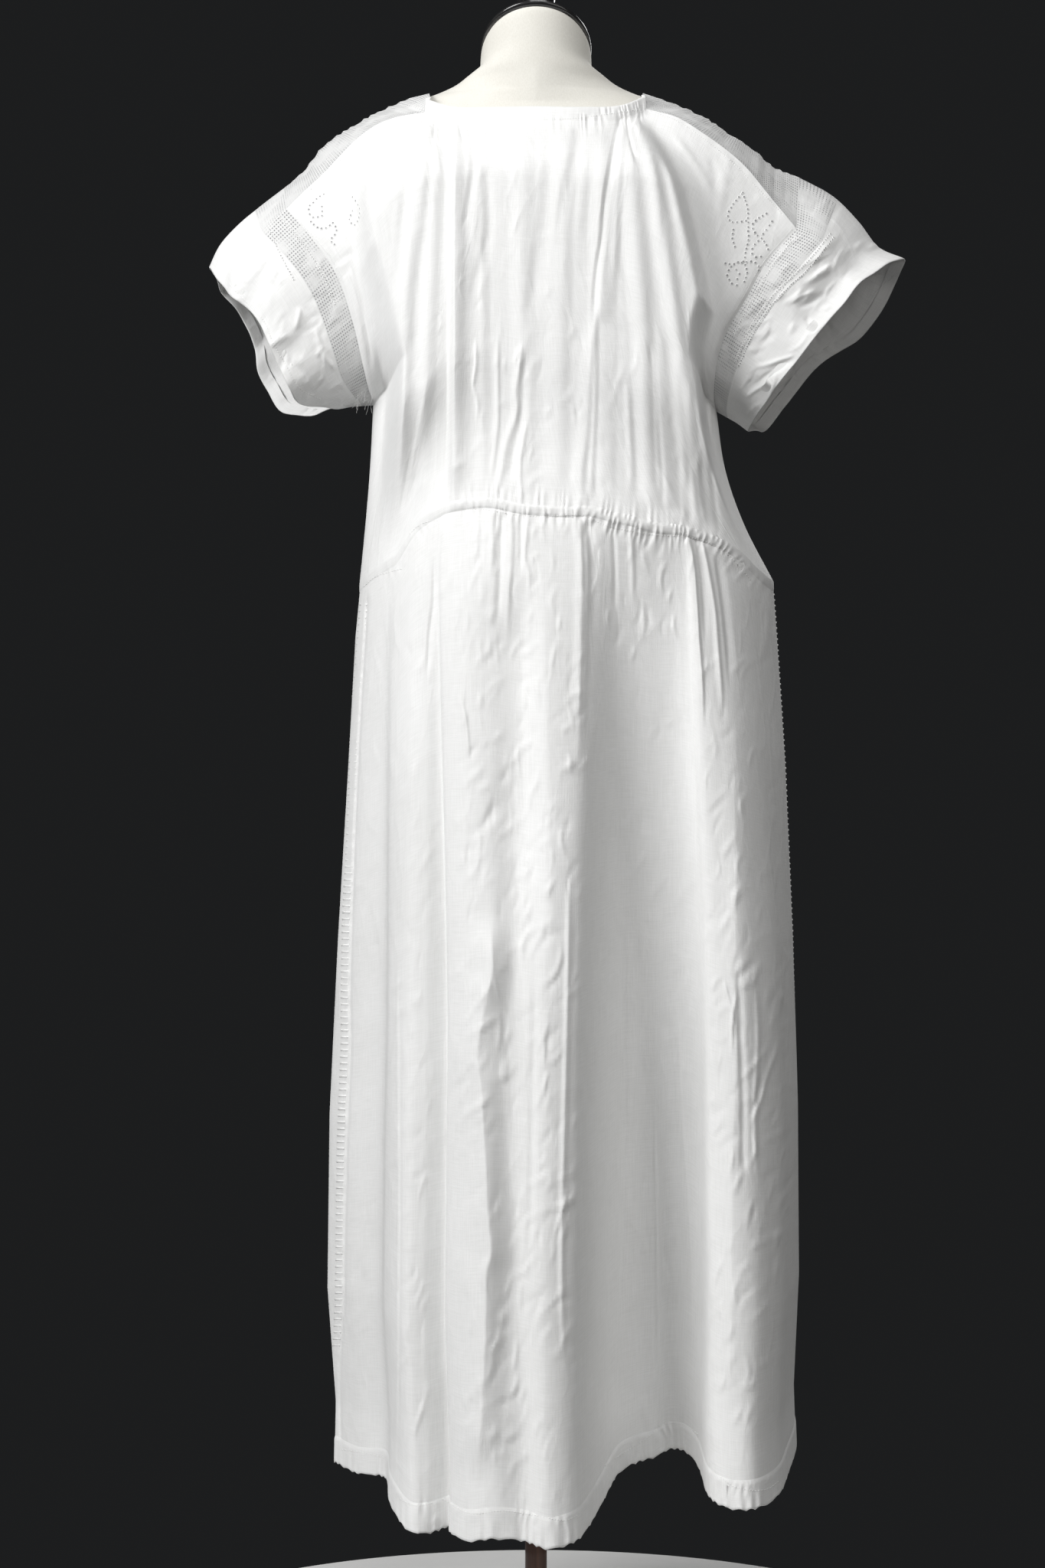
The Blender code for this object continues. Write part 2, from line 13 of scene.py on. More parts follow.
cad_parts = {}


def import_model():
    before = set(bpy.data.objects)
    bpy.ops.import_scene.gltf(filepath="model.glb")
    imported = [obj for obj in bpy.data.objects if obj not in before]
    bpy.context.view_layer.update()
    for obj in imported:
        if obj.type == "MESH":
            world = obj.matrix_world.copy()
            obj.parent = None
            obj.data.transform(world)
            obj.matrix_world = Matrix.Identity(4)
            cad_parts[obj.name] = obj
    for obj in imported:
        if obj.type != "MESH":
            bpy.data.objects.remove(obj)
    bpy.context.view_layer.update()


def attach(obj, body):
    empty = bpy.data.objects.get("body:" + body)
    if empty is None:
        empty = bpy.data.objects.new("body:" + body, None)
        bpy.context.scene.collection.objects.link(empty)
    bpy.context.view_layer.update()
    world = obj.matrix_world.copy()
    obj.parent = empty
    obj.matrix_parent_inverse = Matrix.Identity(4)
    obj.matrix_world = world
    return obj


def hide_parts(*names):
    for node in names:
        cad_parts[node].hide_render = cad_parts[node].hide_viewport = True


MM = 0.001
PIXELS = 1354  # pixels a metre in the plane of the form's axis
MIDDLE = 700, 1024  # pixel of the form's axis at the camera's height
EYE = -0.013, -3.2, 0.835  # the camera
CASING, HEM_BAND, NECKBAND = 0.010, 0.027, 0.0135  # heights of the bands
SKIRT_LENGTH = 0.90
SKIRT_ROW_POWER = 1.08  # over 1, rows are closer at the waist
FINE_BACK, FINE_FRONT = 9, 5  # columns for each column of the solids
BAND_COLUMNS, NECK_COLUMNS = 4, 36
ARM_ROWS, SIDE_ROWS = 7 * 14, 4 * 14
SKIRT_ROWS, HEM_ROWS, CASING_ROWS, BAND_ROWS = 250, 12, 8, 7
ACROSS_SHOULDER = 24

# Back skirt, left side seam to right side seam, as the photo shows its folds. Millimetres.
# share of half width at the waist, waist height, share at the hem, y at the hem, hem height, columns to next
BACK_LINES = (
    (-1.00, 1019, -1.000, 0, 182, 2),  # left side seam
    (-0.93, 1028, -0.894, -40, 179, 2),
    (-0.84, 1038, -0.764, -80, 183, 1),
    (-0.80, 1044, -0.735, -128, 170, 2),
    (-0.72, 1068, -0.657, -165, 153, 2),
    (-0.65, 1079, -0.580, -166, 150, 2),
    (-0.60, 1084, -0.478, -152, 154, 1),  # valley under the main fold
    (-0.57, 1087, -0.480, -182, 155, 1),  # edge of the main fold, over the valley
    (-0.48, 1090, -0.410, -205, 152, 2),
    (-0.36, 1091, -0.299, -215, 156, 2),
    (-0.22, 1085, -0.177, -210, 153, 2),
    (-0.11, 1083, -0.078, -220, 148, 2),
    (0.00, 1082, 0.024, -210, 152, 1),
    (0.08, 1083, 0.079, -185, 158, 1),  # right edge of the middle panel
    (0.14, 1081, 0.145, -126, 168, 2),
    (0.21, 1077, 0.222, -72, 185, 2),
    (0.29, 1074, 0.305, -50, 191, 2),  # deepest valley
    (0.38, 1069, 0.385, -48, 196, 2),
    (0.45, 1067, 0.450, -55, 205, 2),
    (0.50, 1067, 0.515, -70, 205, 1),
    (0.545, 1066, 0.565, -96, 195, 1),
    (0.575, 1064, 0.595, -136, 178, 2),  # left edge of the right ridge
    (0.645, 1060, 0.670, -156, 171, 2),
    (0.74, 1053, 0.780, -158, 171, 2),
    (0.83, 1042, 0.885, -128, 177, 1),
    (0.90, 1030, 0.940, -90, 190, 1),
    (0.96, 1022, 0.990, -42, 203, 1),
    (1.00, 1019, 1.000, 0, 208, 0),  # right side seam
)
# Front skirt, right side seam to left side seam, in the same columns. It is hidden, with plainer folds.
FRONT_LINES = (
    (1.00, 1019, 1.00, 0, 208, 2),
    (0.93, 1023, 0.97, 55, 200, 2),
    (0.80, 1034, 0.83, 118, 186, 3),
    (0.66, 1043, 0.68, 134, 178, 3),
    (0.54, 1049, 0.55, 104, 183, 3),
    (0.42, 1053, 0.42, 122, 178, 3),
    (0.28, 1057, 0.28, 176, 168, 3),
    (0.12, 1059, 0.12, 190, 165, 3),
    (-0.01, 1060, 0.00, 164, 169, 3),
    (-0.13, 1059, -0.12, 168, 168, 3),
    (-0.28, 1057, -0.28, 196, 165, 3),
    (-0.42, 1053, -0.42, 178, 168, 3),
    (-0.54, 1049, -0.55, 124, 179, 3),
    (-0.66, 1043, -0.68, 118, 180, 3),
    (-0.80, 1034, -0.84, 132, 176, 2),
    (-0.93, 1024, -0.97, 70, 180, 2),
    (-1.00, 1019, -1.00, 0, 182, 0),
)
# Skirt outline: share of the way from waist to hem, left edge, right edge. Millimetres.
SKIRT_EDGES = (
    (0.00, -170, 229),
    (0.05, -174, 232),
    (0.20, -181, 240),
    (0.40, -191, 247),
    (0.60, -199, 251),
    (0.80, -201, 252),
    (0.93, -193, 247),
    (1.00, -194, 249),
)
WAIST_BACK, WAIST_FRONT = 0.125, 0.135  # how far the waist stands off the side seams
FOLD_GROWTH = 0.84  # power by which the folds open from waist to hem
FRONT_RELIEF = 0.7  # height of the front's creases beside the back's
BACK_SEED, FRONT_SEED, THREAD_SEED, HOLE_SEED = 7, 23, 5, 3

# Edges of the bodice, in millimetres, from the sleeve's top down the armhole to the underarm.
LEFT_ARMHOLE = ((-237, -50, 1381), (-213, -58, 1353), (-189, -60, 1317), (-173, -54, 1270),
                (-165, -40, 1234), (-160, -18, 1211), (-157, 0, 1200))
RIGHT_ARMHOLE = ((247, -50, 1362), (217, -60, 1327), (198, -60, 1293), (181, -57, 1265),
                 (173, -50, 1242), (170, -37, 1219), (171, -17, 1203), (174, 0, 1194))
# From the underarm down the side seam to the waist.
LEFT_SIDE = ((-157, 0, 1200), (-160, 0, 1140), (-164, 0, 1090), (-170, 0, 1029))
RIGHT_SIDE = ((174, 0, 1194), (182, 0, 1140), (200, 0, 1086), (229, 0, 1029))
# Back seam of a shoulder band, from the sleeve to the neck corner, then the end of the neckband.
LEFT_SHOULDER = ((-237, -50, 1381), (-218, -49, 1400), (-203, -48, 1414), (-187, -48, 1431),
                 (-171, -48, 1447), (-154, -47, 1460), (-136, -46, 1468), (-106, -43, 1474))
RIGHT_SHOULDER = ((247, -50, 1362), (221, -49, 1394), (199, -48, 1421), (181, -48, 1437),
                  (157, -48, 1454), (133, -46, 1469), (105, -43, 1477))
# Top of the shoulder band, its silhouette from behind, from the sleeve to the neck edge.
LEFT_CREST = ((-243, 4, 1410), (-231, 5, 1420), (-218, 5, 1434), (-207, 4, 1449), (-190, 3, 1461),
              (-163, 2, 1477), (-138, 0, 1489), (-120, 0, 1496), (-103, 0, 1500))
RIGHT_CREST = ((253, 4, 1421), (231, 5, 1430), (209, 4, 1448), (184, 3, 1463), (165, 2, 1476), (138, 0, 1488),
               (117, 0, 1496), (103, 0, 1500))
NECK_CORNER = 101, -38, 1489  # where the neckband's free edge meets a shoulder band
NECK_SEAM_BACK = ((-106, -43, 1474), (-80, -62, 1463), (-40, -75, 1460), (0, -78, 1460),
                  (40, -75, 1460), (80, -62, 1464), (105, -43, 1477))
NECK_SEAM_FRONT = ((-106, 43, 1474), (-83, 62, 1458), (-40, 78, 1446), (0, 82, 1443),
                   (40, 78, 1446), (83, 62, 1459), (105, 43, 1477))

# Sleeve cuff edges as closed rings, from the underarm up the back, over the top, down the front.
LEFT_CUFF = ((-190, 0, 1198), (-226, -34, 1197), (-233, -50, 1208), (-247, -60, 1238),
             (-264, -59, 1274), (-279, -50, 1290), (-297, -34, 1307), (-315, 0, 1333),
             (-305, 32, 1314), (-288, 52, 1290), (-276, 60, 1263), (-273, 60, 1240),
             (-262, 54, 1219), (-247, 40, 1197), (-216, 22, 1194))
RIGHT_CUFF = ((206, 0, 1176), (207, -28, 1182), (214, -46, 1192), (232, -62, 1217),
              (251, -67, 1241), (281, -62, 1279), (313, -46, 1315), (342, -20, 1336), (356, 0, 1341),
              (354, 22, 1333), (344, 48, 1308), (317, 65, 1272), (283, 67, 1251), (245, 55, 1206),
              (224, 34, 1180))
SLEEVE_BAND = 0.34  # share of the sleeve that its openwork band takes
# How far a sleeve's top arches off a straight line: share of the way to the cuff, left, right. Millimetres.
SLEEVE_RISE = ((0, 0, 0), (0.30, 5, 6), (0.55, 8, 2), (0.80, 7, -6), (1, 0, 0))

# Bodice back. The cloth stands off between these two lines and falls back outside them. Millimetres.
# height, left line x, right line x
STAND_OFF = ((1460, -176, 112), (1400, -178, 141), (1330, -172, 158), (1260, -163, 173),
             (1190, -158, 186), (1110, -168, 206))
BACK_STANDS, FRONT_STANDS = -0.118, 0.128  # y of the bodice's middle
# Soft folds of the bodice. Millimetres.
# x at the neck, middle, waist; height at the neck, middle, waist; half width left, right
BODICE_FOLDS = (
    (-97, -122, -130, 2, 4, 2, 14, 12),
    (-90, -99, -106, 2, 3, 2, 10, 10),
    (-74, -76, -78, 2, 7, 6, 7, 24),  # the main fold, steep on its left
    (-55, -52, -50, 1, 2, 1.5, 14, 10),
    (-12, -14, -10, 1, 2, 1, 14, 14),
    (28, 24, 20, 1, 2, 1.5, 18, 12),
    (62, 60, 60, 2, 3, 3, 14, 16),
    (82, 96, 110, 2, 4, 3, 16, 14),
    (94, 128, 150, 2, 4, 4, 15, 12),
)

# Form: height, half width, back y, front y, exponent of the section. Millimetres.
TORSO = (
    (862, 128, -90, 88, 2.2), (874, 142, -101, 99, 2.2), (905, 147, -105, 104, 2.2),
    (945, 141, -103, 102, 2.2), (985, 130, -98, 97, 2.2), (1025, 119, -94, 94, 2.1),
    (1060, 114, -91, 93, 2.1), (1110, 119, -94, 101, 2.1), (1170, 134, -101, 116, 2.1),
    (1230, 144, -105, 125, 2.1), (1280, 149, -104, 121, 2.1), (1330, 155, -99, 110, 2.1),
    (1380, 163, -88, 94, 2.1), (1415, 171, -77, 81, 2.1), (1440, 174, -67, 71, 2.1),
    (1456, 172, -61, 64, 2.0), (1466, 166, -57, 60, 1.9), (1475, 156, -54, 56, 1.75),
    (1482, 145, -52, 54, 1.6), (1488, 131, -52, 53, 1.5), (1494, 113, -52, 53, 1.5),
    (1499, 97, -52, 53, 1.5), (1505, 81, -52, 53, 1.6), (1511, 69, -52, 53, 1.85),
    (1517, 57, -52, 53, 2.0), (1522, 54, -52, 53, 2.0), (1535, 53, -52, 53, 2.0),
    (1539, 51, -50, 51, 2.0),
)
NECK_SLOPE = 0.68  # the neck's cut face falls this much to the front
NECK_FOOT, NECK_TOP = 1.498, 1.539  # heights where the slope starts and where the cut face is, in the middle
# Height above the cut face or the cap, and radius, in millimetres.
CAP = ((0.4, 50.5), (1.6, 53.0), (4.0, 53.0), (5.5, 50.0), (6.5, 30.0))
KNOB = ((0, 8), (16, 8), (38, 8), (41, 16), (42.5, 18), (49, 18), (51, 15.5), (58, 16.5), (64, 13), (66, 6))
KNOB_FOOT = 0.016  # the part of the knob's stem that takes up the slope
# Ridges, and troughs with a minus, as the photo shows them. Each line runs downwards.
# height in millimetres, width left, right, sharpness, share of its length to fade in, to fade out, pixels
CREASES = (
    # gathers below the neckband's left corner
    (-2.0, 7, 6, .2, .02, .5, ((556, 158), (545, 183), (537, 206), (533, 235), (529, 263), (525, 330),
                               (523, 430))),
    (1.6, 7, 7, .2, .05, .6, ((562, 162), (556, 200), (552, 260), (547, 350))),
    (-2.0, 4, 4, .4, .02, .5, ((568, 158), (564, 197), (563, 235), (560, 275), (556, 340))),
    (-2.8, 20, 7, .1, .02, .1, ((573, 165), (583, 200), (585, 300), (585, 420), (585, 560), (584, 700))),
    (2.0, 4, 15, .3, .02, .1, ((589, 166), (592, 210), (593, 300), (594, 420), (593, 560), (591, 690))),
    # beside the left armhole
    (-3.4, 6, 5, .4, .05, .1, ((466, 200), (456, 235), (454, 270), (456, 292), (462, 330), (470, 380),
                               (478, 430), (486, 490))),
    (2.0, 8, 12, .2, .05, .2, ((500, 190), (484, 230), (476, 270), (480, 330), (488, 400), (494, 470))),
    (-1.6, 4, 4, .4, 0, .5, ((598, 158), (602, 172), (605, 190))),
    (-1.3, 8, 10, .1, .02, .5, ((615, 166), (619, 215), (614, 254), (610, 283), (608, 330))),
    (-.9, 10, 12, 0, .1, .3, ((632, 214), (637, 254), (639, 292), (630, 340), (621, 369), (618, 420))),
    # folds of the bodice's middle
    (1.8, 3, 8, .8, .2, .3, ((621, 440), (621, 476), (618, 505), (623, 524), (622, 560))),
    (1.6, 6, 5, .5, .2, .2, ((650, 430), (650, 496), (650, 553), (646, 591), (640, 640))),
    (1.8, 9, 7, .5, .15, .1, ((683, 440), (677, 486), (673, 515), (675, 534), (661, 582), (652, 630),
                              (646, 652))),
    (-1.6, 7, 11, .1, .2, .2, ((690, 450), (684, 490), (683, 520), (680, 550), (669, 600), (664, 640))),
    (1.6, 4, 5, .6, .2, .1, ((690, 545), (681, 582), (679, 630), (680, 655))),
    (1.2, 3, 3, .9, .3, .3, ((698, 582), (692, 597), (690, 606))),
    (1.5, 4, 3, .9, .3, .3, ((684, 455), (677, 461), (671, 477))),
    (-1.0, 14, 16, 0, .1, .2, ((719, 205), (713, 273), (702, 350), (692, 407), (688, 440))),
    (-.9, 10, 12, 0, .03, .4, ((756, 166), (750, 206), (738, 254), (728, 330))),
    (.8, 11, 12, 0, .03, .4, ((772, 166), (766, 215), (757, 280), (750, 360))),
    # gathers below the neckband's right corner
    (-2.0, 6, 9, .3, 0, .2, ((810, 156), (803, 187), (796, 225), (790, 263), (786, 311), (780, 350),
                             (774, 440))),
    (1.6, 10, 9, .1, .05, .3, ((813, 162), (810, 200), (806, 260), (803, 330), (800, 400))),
    (-1.8, 4, 4, .5, 0, .5, ((818, 158), (824, 187), (832, 216), (836, 245))),
    (1.5, 6, 8, .3, .02, .3, ((828, 158), (840, 185), (852, 225), (858, 270), (862, 330))),
    (-1.9, 6, 8, .3, 0, .4, ((836, 154), (845, 177), (857, 200), (864, 225), (872, 263), (882, 302),
                             (890, 340))),
    # folds of the bodice's right half
    (1.7, 16, 8, .2, .2, .05, ((776, 400), (773, 438), (769, 496), (765, 572), (759, 620), (762, 662))),
    (-2.2, 8, 22, 0, .1, .1, ((784, 400), (784, 450), (783, 530), (780, 600), (778, 660))),
    (1.2, 8, 8, .2, .3, .3, ((818, 480), (822, 560), (824, 620), (819, 660))),
    (-1.2, 14, 6, .2, .2, .1, ((848, 430), (852, 500), (854, 580), (858, 650))),
    (1.6, 7, 20, .2, .2, .05, ((857, 400), (860, 440), (864, 534), (869, 610), (872, 668))),
    (-1.6, 10, 10, .1, .2, .1, ((890, 470), (894, 534), (900, 591), (900, 650), (904, 690))),
    (1.8, 5, 4, .8, .2, .3, ((918, 475), (922, 496), (927, 524), (928, 553), (933, 575))),
    (1.5, 5, 5, .5, .2, .2, ((918, 575), (912, 600), (914, 640), (922, 690))),
    (-1.6, 6, 6, .3, .2, .2, ((926, 580), (930, 620), (934, 660), (940, 700))),
    (-1.4, 6, 5, .3, .3, .3, ((905, 330), (914, 380), (921, 430))),
    # below the waist
    (-2.6, 9, 6, .3, .05, .3, ((655, 672), (655, 720), (653, 770), (650, 820))),
    (1.8, 5, 6, .4, .02, .4, ((641, 668), (643, 705), (640, 760))),
    (1.8, 6, 6, .3, .02, .4, ((668, 672), (668, 720), (664, 780), (662, 850))),
    (-1.8, 5, 4, .4, .02, .4, ((681, 674), (681, 715), (680, 755))),
    (1.6, 3, 7, .7, .02, .4, ((690, 676), (686, 705), (685, 733), (690, 748), (688, 790))),
    (1.3, 3, 3, .9, .3, .3, ((706, 722), (697, 729), (689, 734))),
    (1.3, 3, 3, .9, .3, .3, ((704, 763), (696, 771), (689, 779))),
    (-2.4, 6, 14, .4, .02, .3, ((768, 680), (772, 740), (770, 820), (768, 920), (764, 1010))),
    (2.0, 12, 5, .4, .02, .3, ((757, 676), (760, 740), (759, 820), (757, 920), (756, 1010))),
    (-1.3, 6, 6, .3, .02, .4, ((800, 684), (803, 740), (803, 820))),
    (1.2, 6, 6, .3, .02, .4, ((824, 688), (826, 740), (826, 800))),
    (2.6, 16, 4, .6, .02, .3, ((899, 702), (906, 735), (909, 769), (912, 818), (914, 848), (917, 890),
                               (919, 960))),
    (-2.2, 4, 9, .4, .02, .4, ((909, 703), (914, 735), (918, 780), (922, 850))),
    (2.2, 8, 4, .6, .05, .3, ((917, 706), (926, 749), (934, 798), (938, 848), (942, 897), (944, 947))),
    (-2.4, 4, 12, .3, .1, .4, ((934, 722), (944, 790), (950, 850), (954, 910))),
    (1.8, 8, 8, .3, .3, .4, ((994, 770), (1003, 798), (1001, 828), (996, 870))),
    (1.6, 8, 4, .7, .3, .3, ((612, 893), (604, 917), (608, 937), (611, 962), (613, 1000))),
    (-1.6, 5, 8, .3, .3, .3, ((566, 709), (566, 788), (561, 828), (559, 867), (556, 920))),
    # the skirt's middle and lower part
    (-11, 92, 36, .1, .2, .5, ((676, 740), (680, 900), (684, 1050), (688, 1200), (690, 1330))),
    (8.0, 46, 32, .7, .08, .1, ((641, 1190), (642, 1230), (643, 1269), (634, 1308), (628, 1338), (623, 1378),
                                (628, 1417), (632, 1490), (634, 1520), (636, 1579), (641, 1638), (636, 1658),
                                (634, 1717), (632, 1777), (628, 1850), (622, 1940))),
    (-2.5, 30, 24, 0, .2, .2, ((668, 900), (668, 1100), (668, 1300), (664, 1500), (668, 1650), (662, 1850))),
    (3.0, 26, 34, .6, .3, .15, ((958, 900), (960, 1060), (961, 1200), (961, 1400), (957, 1490), (955, 1700),
                                (950, 1860))),
    (1.6, 3, 4, .9, .2, .2, ((643, 1278), (634, 1296), (617, 1320), (602, 1345))),
    (1.4, 3, 3, .9, .2, .2, ((645, 1276), (652, 1300), (664, 1322))),
    (1.5, 4, 4, .9, .2, .3, ((622, 1380), (608, 1396), (594, 1414))),
    (1.2, 4, 4, .9, .2, .3, ((760, 1262), (752, 1272), (746, 1290))),
    (1.8, 4, 3, .9, .2, .2, ((945, 1276), (951, 1304), (957, 1322), (954, 1350))),
    (1.8, 3, 4, .9, .2, .2, ((964, 1290), (957, 1322), (955, 1380))),
    (1.6, 5, 4, .9, .3, .3, ((1024, 1262), (1020, 1310), (1016, 1330))),
    (2.0, 6, 5, .8, .3, .3, ((1018, 1340), (1014, 1372), (1004, 1398), (992, 1440), (975, 1480))),
    (1.6, 5, 5, .8, .3, .3, ((960, 1412), (974, 1402), (990, 1384), (1006, 1362))),
    (-1.8, 5, 5, .5, .3, .3, ((995, 1402), (990, 1430), (980, 1460))),
    (1.2, 2, 2, .9, .1, .05, ((519, 1234), (519, 1400), (520, 1570), (519, 1700), (518, 1830), (516, 1940))),
    (-.9, 2, 2, .8, .1, .05, ((523, 1300), (523, 1450), (523, 1600), (522, 1760), (520, 1930))),
    (1.3, 4, 4, .9, .3, .3, ((558, 1529), (549, 1555), (546, 1570))),
    (1.3, 4, 3, .9, .3, .3, ((566, 1686), (557, 1700), (548, 1712))),
    (1.2, 4, 4, .9, .3, .3, ((556, 1670), (549, 1688), (541, 1707))),
    (1.4, 4, 4, .9, .3, .3, ((744, 1540), (738, 1569), (728, 1600), (720, 1630))),
    (1.4, 4, 4, .9, .3, .3, ((748, 1670), (734, 1686), (715, 1707), (695, 1728))),
    (1.3, 4, 4, .8, .3, .3, ((671, 1662), (664, 1680), (659, 1698))),
    (1.4, 4, 5, .8, .3, .3, ((567, 1805), (556, 1824), (547, 1850))),
    (1.3, 5, 4, .8, .3, .3, ((560, 1826), (548, 1850), (540, 1880))),
    (2.0, 7, 8, .5, .2, .2, ((744, 1100), (742, 1250), (739, 1400), (735, 1560), (734, 1700), (738, 1800))),
    (-1.3, 8, 8, .2, .2, .2, ((700, 1250), (697, 1400), (694, 1560), (690, 1700))),
    (1.2, 3, 4, .7, .2, .2, ((854, 1435), (856, 1560), (858, 1700), (858, 1800))),
    (-1.2, 8, 8, .2, .2, .2, ((812, 1200), (814, 1400), (812, 1600), (806, 1750))),
    (1.8, 7, 6, .5, .2, .1, ((884, 1300), (890, 1450), (900, 1600), (905, 1760))),
    (-2.0, 6, 9, .3, .2, .2, ((962, 1240), (966, 1340), (970, 1460), (968, 1560))),
    (1.6, 6, 6, .5, .3, .3, ((985, 1260), (990, 1350), (986, 1450), (990, 1560))),
    # left side seam, then the sleeves
    (-3.6, 3, 3, .5, .02, .02, ((480, 776), (477, 828), (471, 927), (463, 1100), (460, 1190), (457, 1300),
                                (458, 1360), (454, 1460), (450, 1618), (449, 1697), (444, 1788),
                                (445, 1890))),
    (1.8, 7, 8, .4, .2, .2, ((876, 172), (897, 200), (916, 228), (932, 262))),
    (1.8, 5, 7, .5, .1, .2, ((953, 204), (948, 225), (942, 255), (936, 285))),
    (-1.8, 6, 6, .3, .2, .2, ((930, 205), (934, 228), (934, 250))),
    (2.0, 5, 5, .7, .2, .3, ((1039, 464), (1010, 474), (986, 481))),
    (1.6, 4, 5, .7, .3, .3, ((1005, 500), (988, 509), (971, 522))),
    (1.6, 5, 4, .6, .3, .3, ((1068, 379), (1048, 387), (1029, 398))),
    (1.6, 5, 4, .6, .3, .3, ((1087, 345), (1074, 353), (1061, 364))),
    (2.0, 5, 5, .6, .2, .3, ((392, 402), (390, 418), (385, 433))),
    (1.8, 6, 4, .6, .3, .3, ((378, 435), (364, 446), (350, 454))),
    (1.6, 4, 5, .7, .3, .3, ((425, 490), (413, 503), (402, 520))),
    (1.5, 4, 4, .7, .3, .3, ((425, 450), (418, 459), (411, 468))),
    (1.7, 14, 14, .1, .3, .4, ((396, 400), (380, 436), (352, 452))),
    (-1.6, 14, 12, .1, .3, .4, ((354, 336), (338, 379), (324, 402))),
    (2.2, 6, 7, .5, .2, .2, ((411, 428), (425, 468), (439, 485))),
    (-2.0, 8, 6, .5, .3, .3, ((425, 494), (416, 504), (401, 520))),
    (-1.6, 10, 9, .2, .3, .3, ((376, 470), (392, 484), (404, 500))),
    (-2.0, 8, 7, .4, .3, .4, ((1084, 380), (1056, 396), (1036, 404))),
    (-1.8, 5, 5, .6, .3, .2, ((1051, 412), (1058, 425), (1064, 437))),
    (-2.2, 10, 8, .3, .3, .3, ((1042, 465), (1020, 478), (990, 498), (968, 515))),
    (2.0, 8, 7, .4, .3, .4, ((1092, 346), (1068, 361), (1043, 375))),
    (1.8, 10, 9, .3, .3, .4, ((1106, 300), (1080, 322), (1052, 352))),
    (-1.5, 9, 9, .3, .3, .3, ((1012, 430), (996, 452), (982, 470))),
)
# Boxes in which short creases are scattered.
# left, top, right, bottom, how many, length, half width, height in millimetres, lean to the right, its spread
CRUMPLES = (
    (595, 220, 770, 420, 16, 44, 6, .5, 5, 30),  # bodice
    (600, 420, 760, 650, 34, 40, 5, .7, 20, 40),
    (500, 200, 570, 650, 22, 44, 6, .6, 0, 30),
    (780, 380, 930, 650, 28, 44, 6, .7, -10, 35),
    (600, 675, 905, 860, 60, 50, 6, 1.1, 5, 22),  # below the waist
    (480, 680, 580, 1230, 34, 60, 7, .8, 10, 30),
    (600, 840, 760, 1230, 110, 50, 5.5, 1.3, 30, 40),  # middle panel
    (600, 1230, 760, 1920, 130, 58, 6, 1.3, 32, 32),
    (500, 1230, 566, 1920, 46, 46, 5.5, .9, 35, 30),  # left of the main fold
    (450, 1000, 500, 1900, 30, 50, 6, .8, 30, 30),
    (770, 900, 905, 1850, 60, 60, 7, .7, 15, 30),  # valley on the right
    (910, 860, 1015, 1250, 40, 44, 5, 1.0, 25, 35),  # right ridge
    (912, 1250, 1030, 1860, 90, 50, 5.5, 1.2, 30, 35),
    (460, 1890, 1040, 2015, 60, 24, 4, .8, 10, 30),  # hem
    (300, 330, 450, 530, 70, 44, 5.5, 1.1, 40, 34),  # left sleeve
    (965, 250, 1160, 540, 110, 44, 5.5, 1.1, 50, 34),  # right sleeve
)
# Small ridges across the left side's felled seam. Pixels.
RUNG_PITCH, RUNG_HALF = 8.5, 5.0
RUNG_SEAM = ((475, 790), (470, 850), (464, 930), (457, 1100), (452, 1200), (450, 1300), (450, 1360),
             (446, 1460), (443, 1618), (442, 1697), (438, 1788), (438, 1885))
# Rows of small puckers along seams and gathers.
# pitch, height in millimetres, width left of a falling line or below a level one, the other width, pixels
PUCKERS = (
    (10, 1.5, 14, 16, ((594, 667), (627, 664), (669, 671), (700, 674), (767, 674), (780, 681), (849, 697),
                       (901, 701), (922, 707), (951, 724), (981, 758), (1010, 775))),  # waist stitching
    (10, 1.2, 8, 24, ((594, 655), (619, 650), (700, 655), (762, 661), (821, 674), (897, 686), (956, 711))),
    (13, .7, 26, 2, ((594, 668), (669, 673), (767, 676), (849, 699), (922, 709), (981, 760))),
    (14, .4, 12, 10, ((470, 773), (487, 755), (525, 743), (540, 700), (575, 680))),
    (10, .8, 30, 2, ((546, 157), (560, 157), (590, 157), (615, 157))),  # gathers at the neck
    (17, .3, 30, 2, ((600, 157), (640, 157), (680, 156), (720, 155), (770, 152))),
    (9, .8, 34, 2, ((755, 153), (785, 151), (800, 148), (842, 140))),
    (6, .8, 9, 9, ((782, 146), (812, 144), (841, 138))),  # the knot of gathers at the right corner
    (11, .6, 9, 2, ((480, 776), (478, 828), (469, 927), (462, 1100), (457, 1279), (453, 1480), (449, 1618),
                    (448, 1697), (441, 1788), (443, 1900))),  # felled side seam
    (16, .8, 18, 10, ((446, 1893), (468, 1896), (505, 1904), (519, 1956), (541, 1966), (568, 1962),
                      (574, 1956), (614, 1976), (657, 1973), (740, 1985), (758, 1977), (783, 1926),
                      (807, 1902), (851, 1873), (890, 1859), (922, 1881), (938, 1926), (961, 1942),
                      (1003, 1944), (1021, 1932))),  # hem
    (7, .7, 8, 6, ((847, 141), (883, 155), (916, 177), (954, 207), (983, 237), (1026, 279), (1039, 299))),
    (7, .7, 8, 6, ((548, 143), (512, 157), (465, 186), (442, 207), (422, 222), (400, 250), (374, 274))),
    (8, .7, 7, 3, ((376, 273), (409, 308), (439, 360), (462, 420))),
    (8, .7, 4, 7, ((1039, 299), (999, 345), (972, 392), (949, 431), (939, 458))),
)
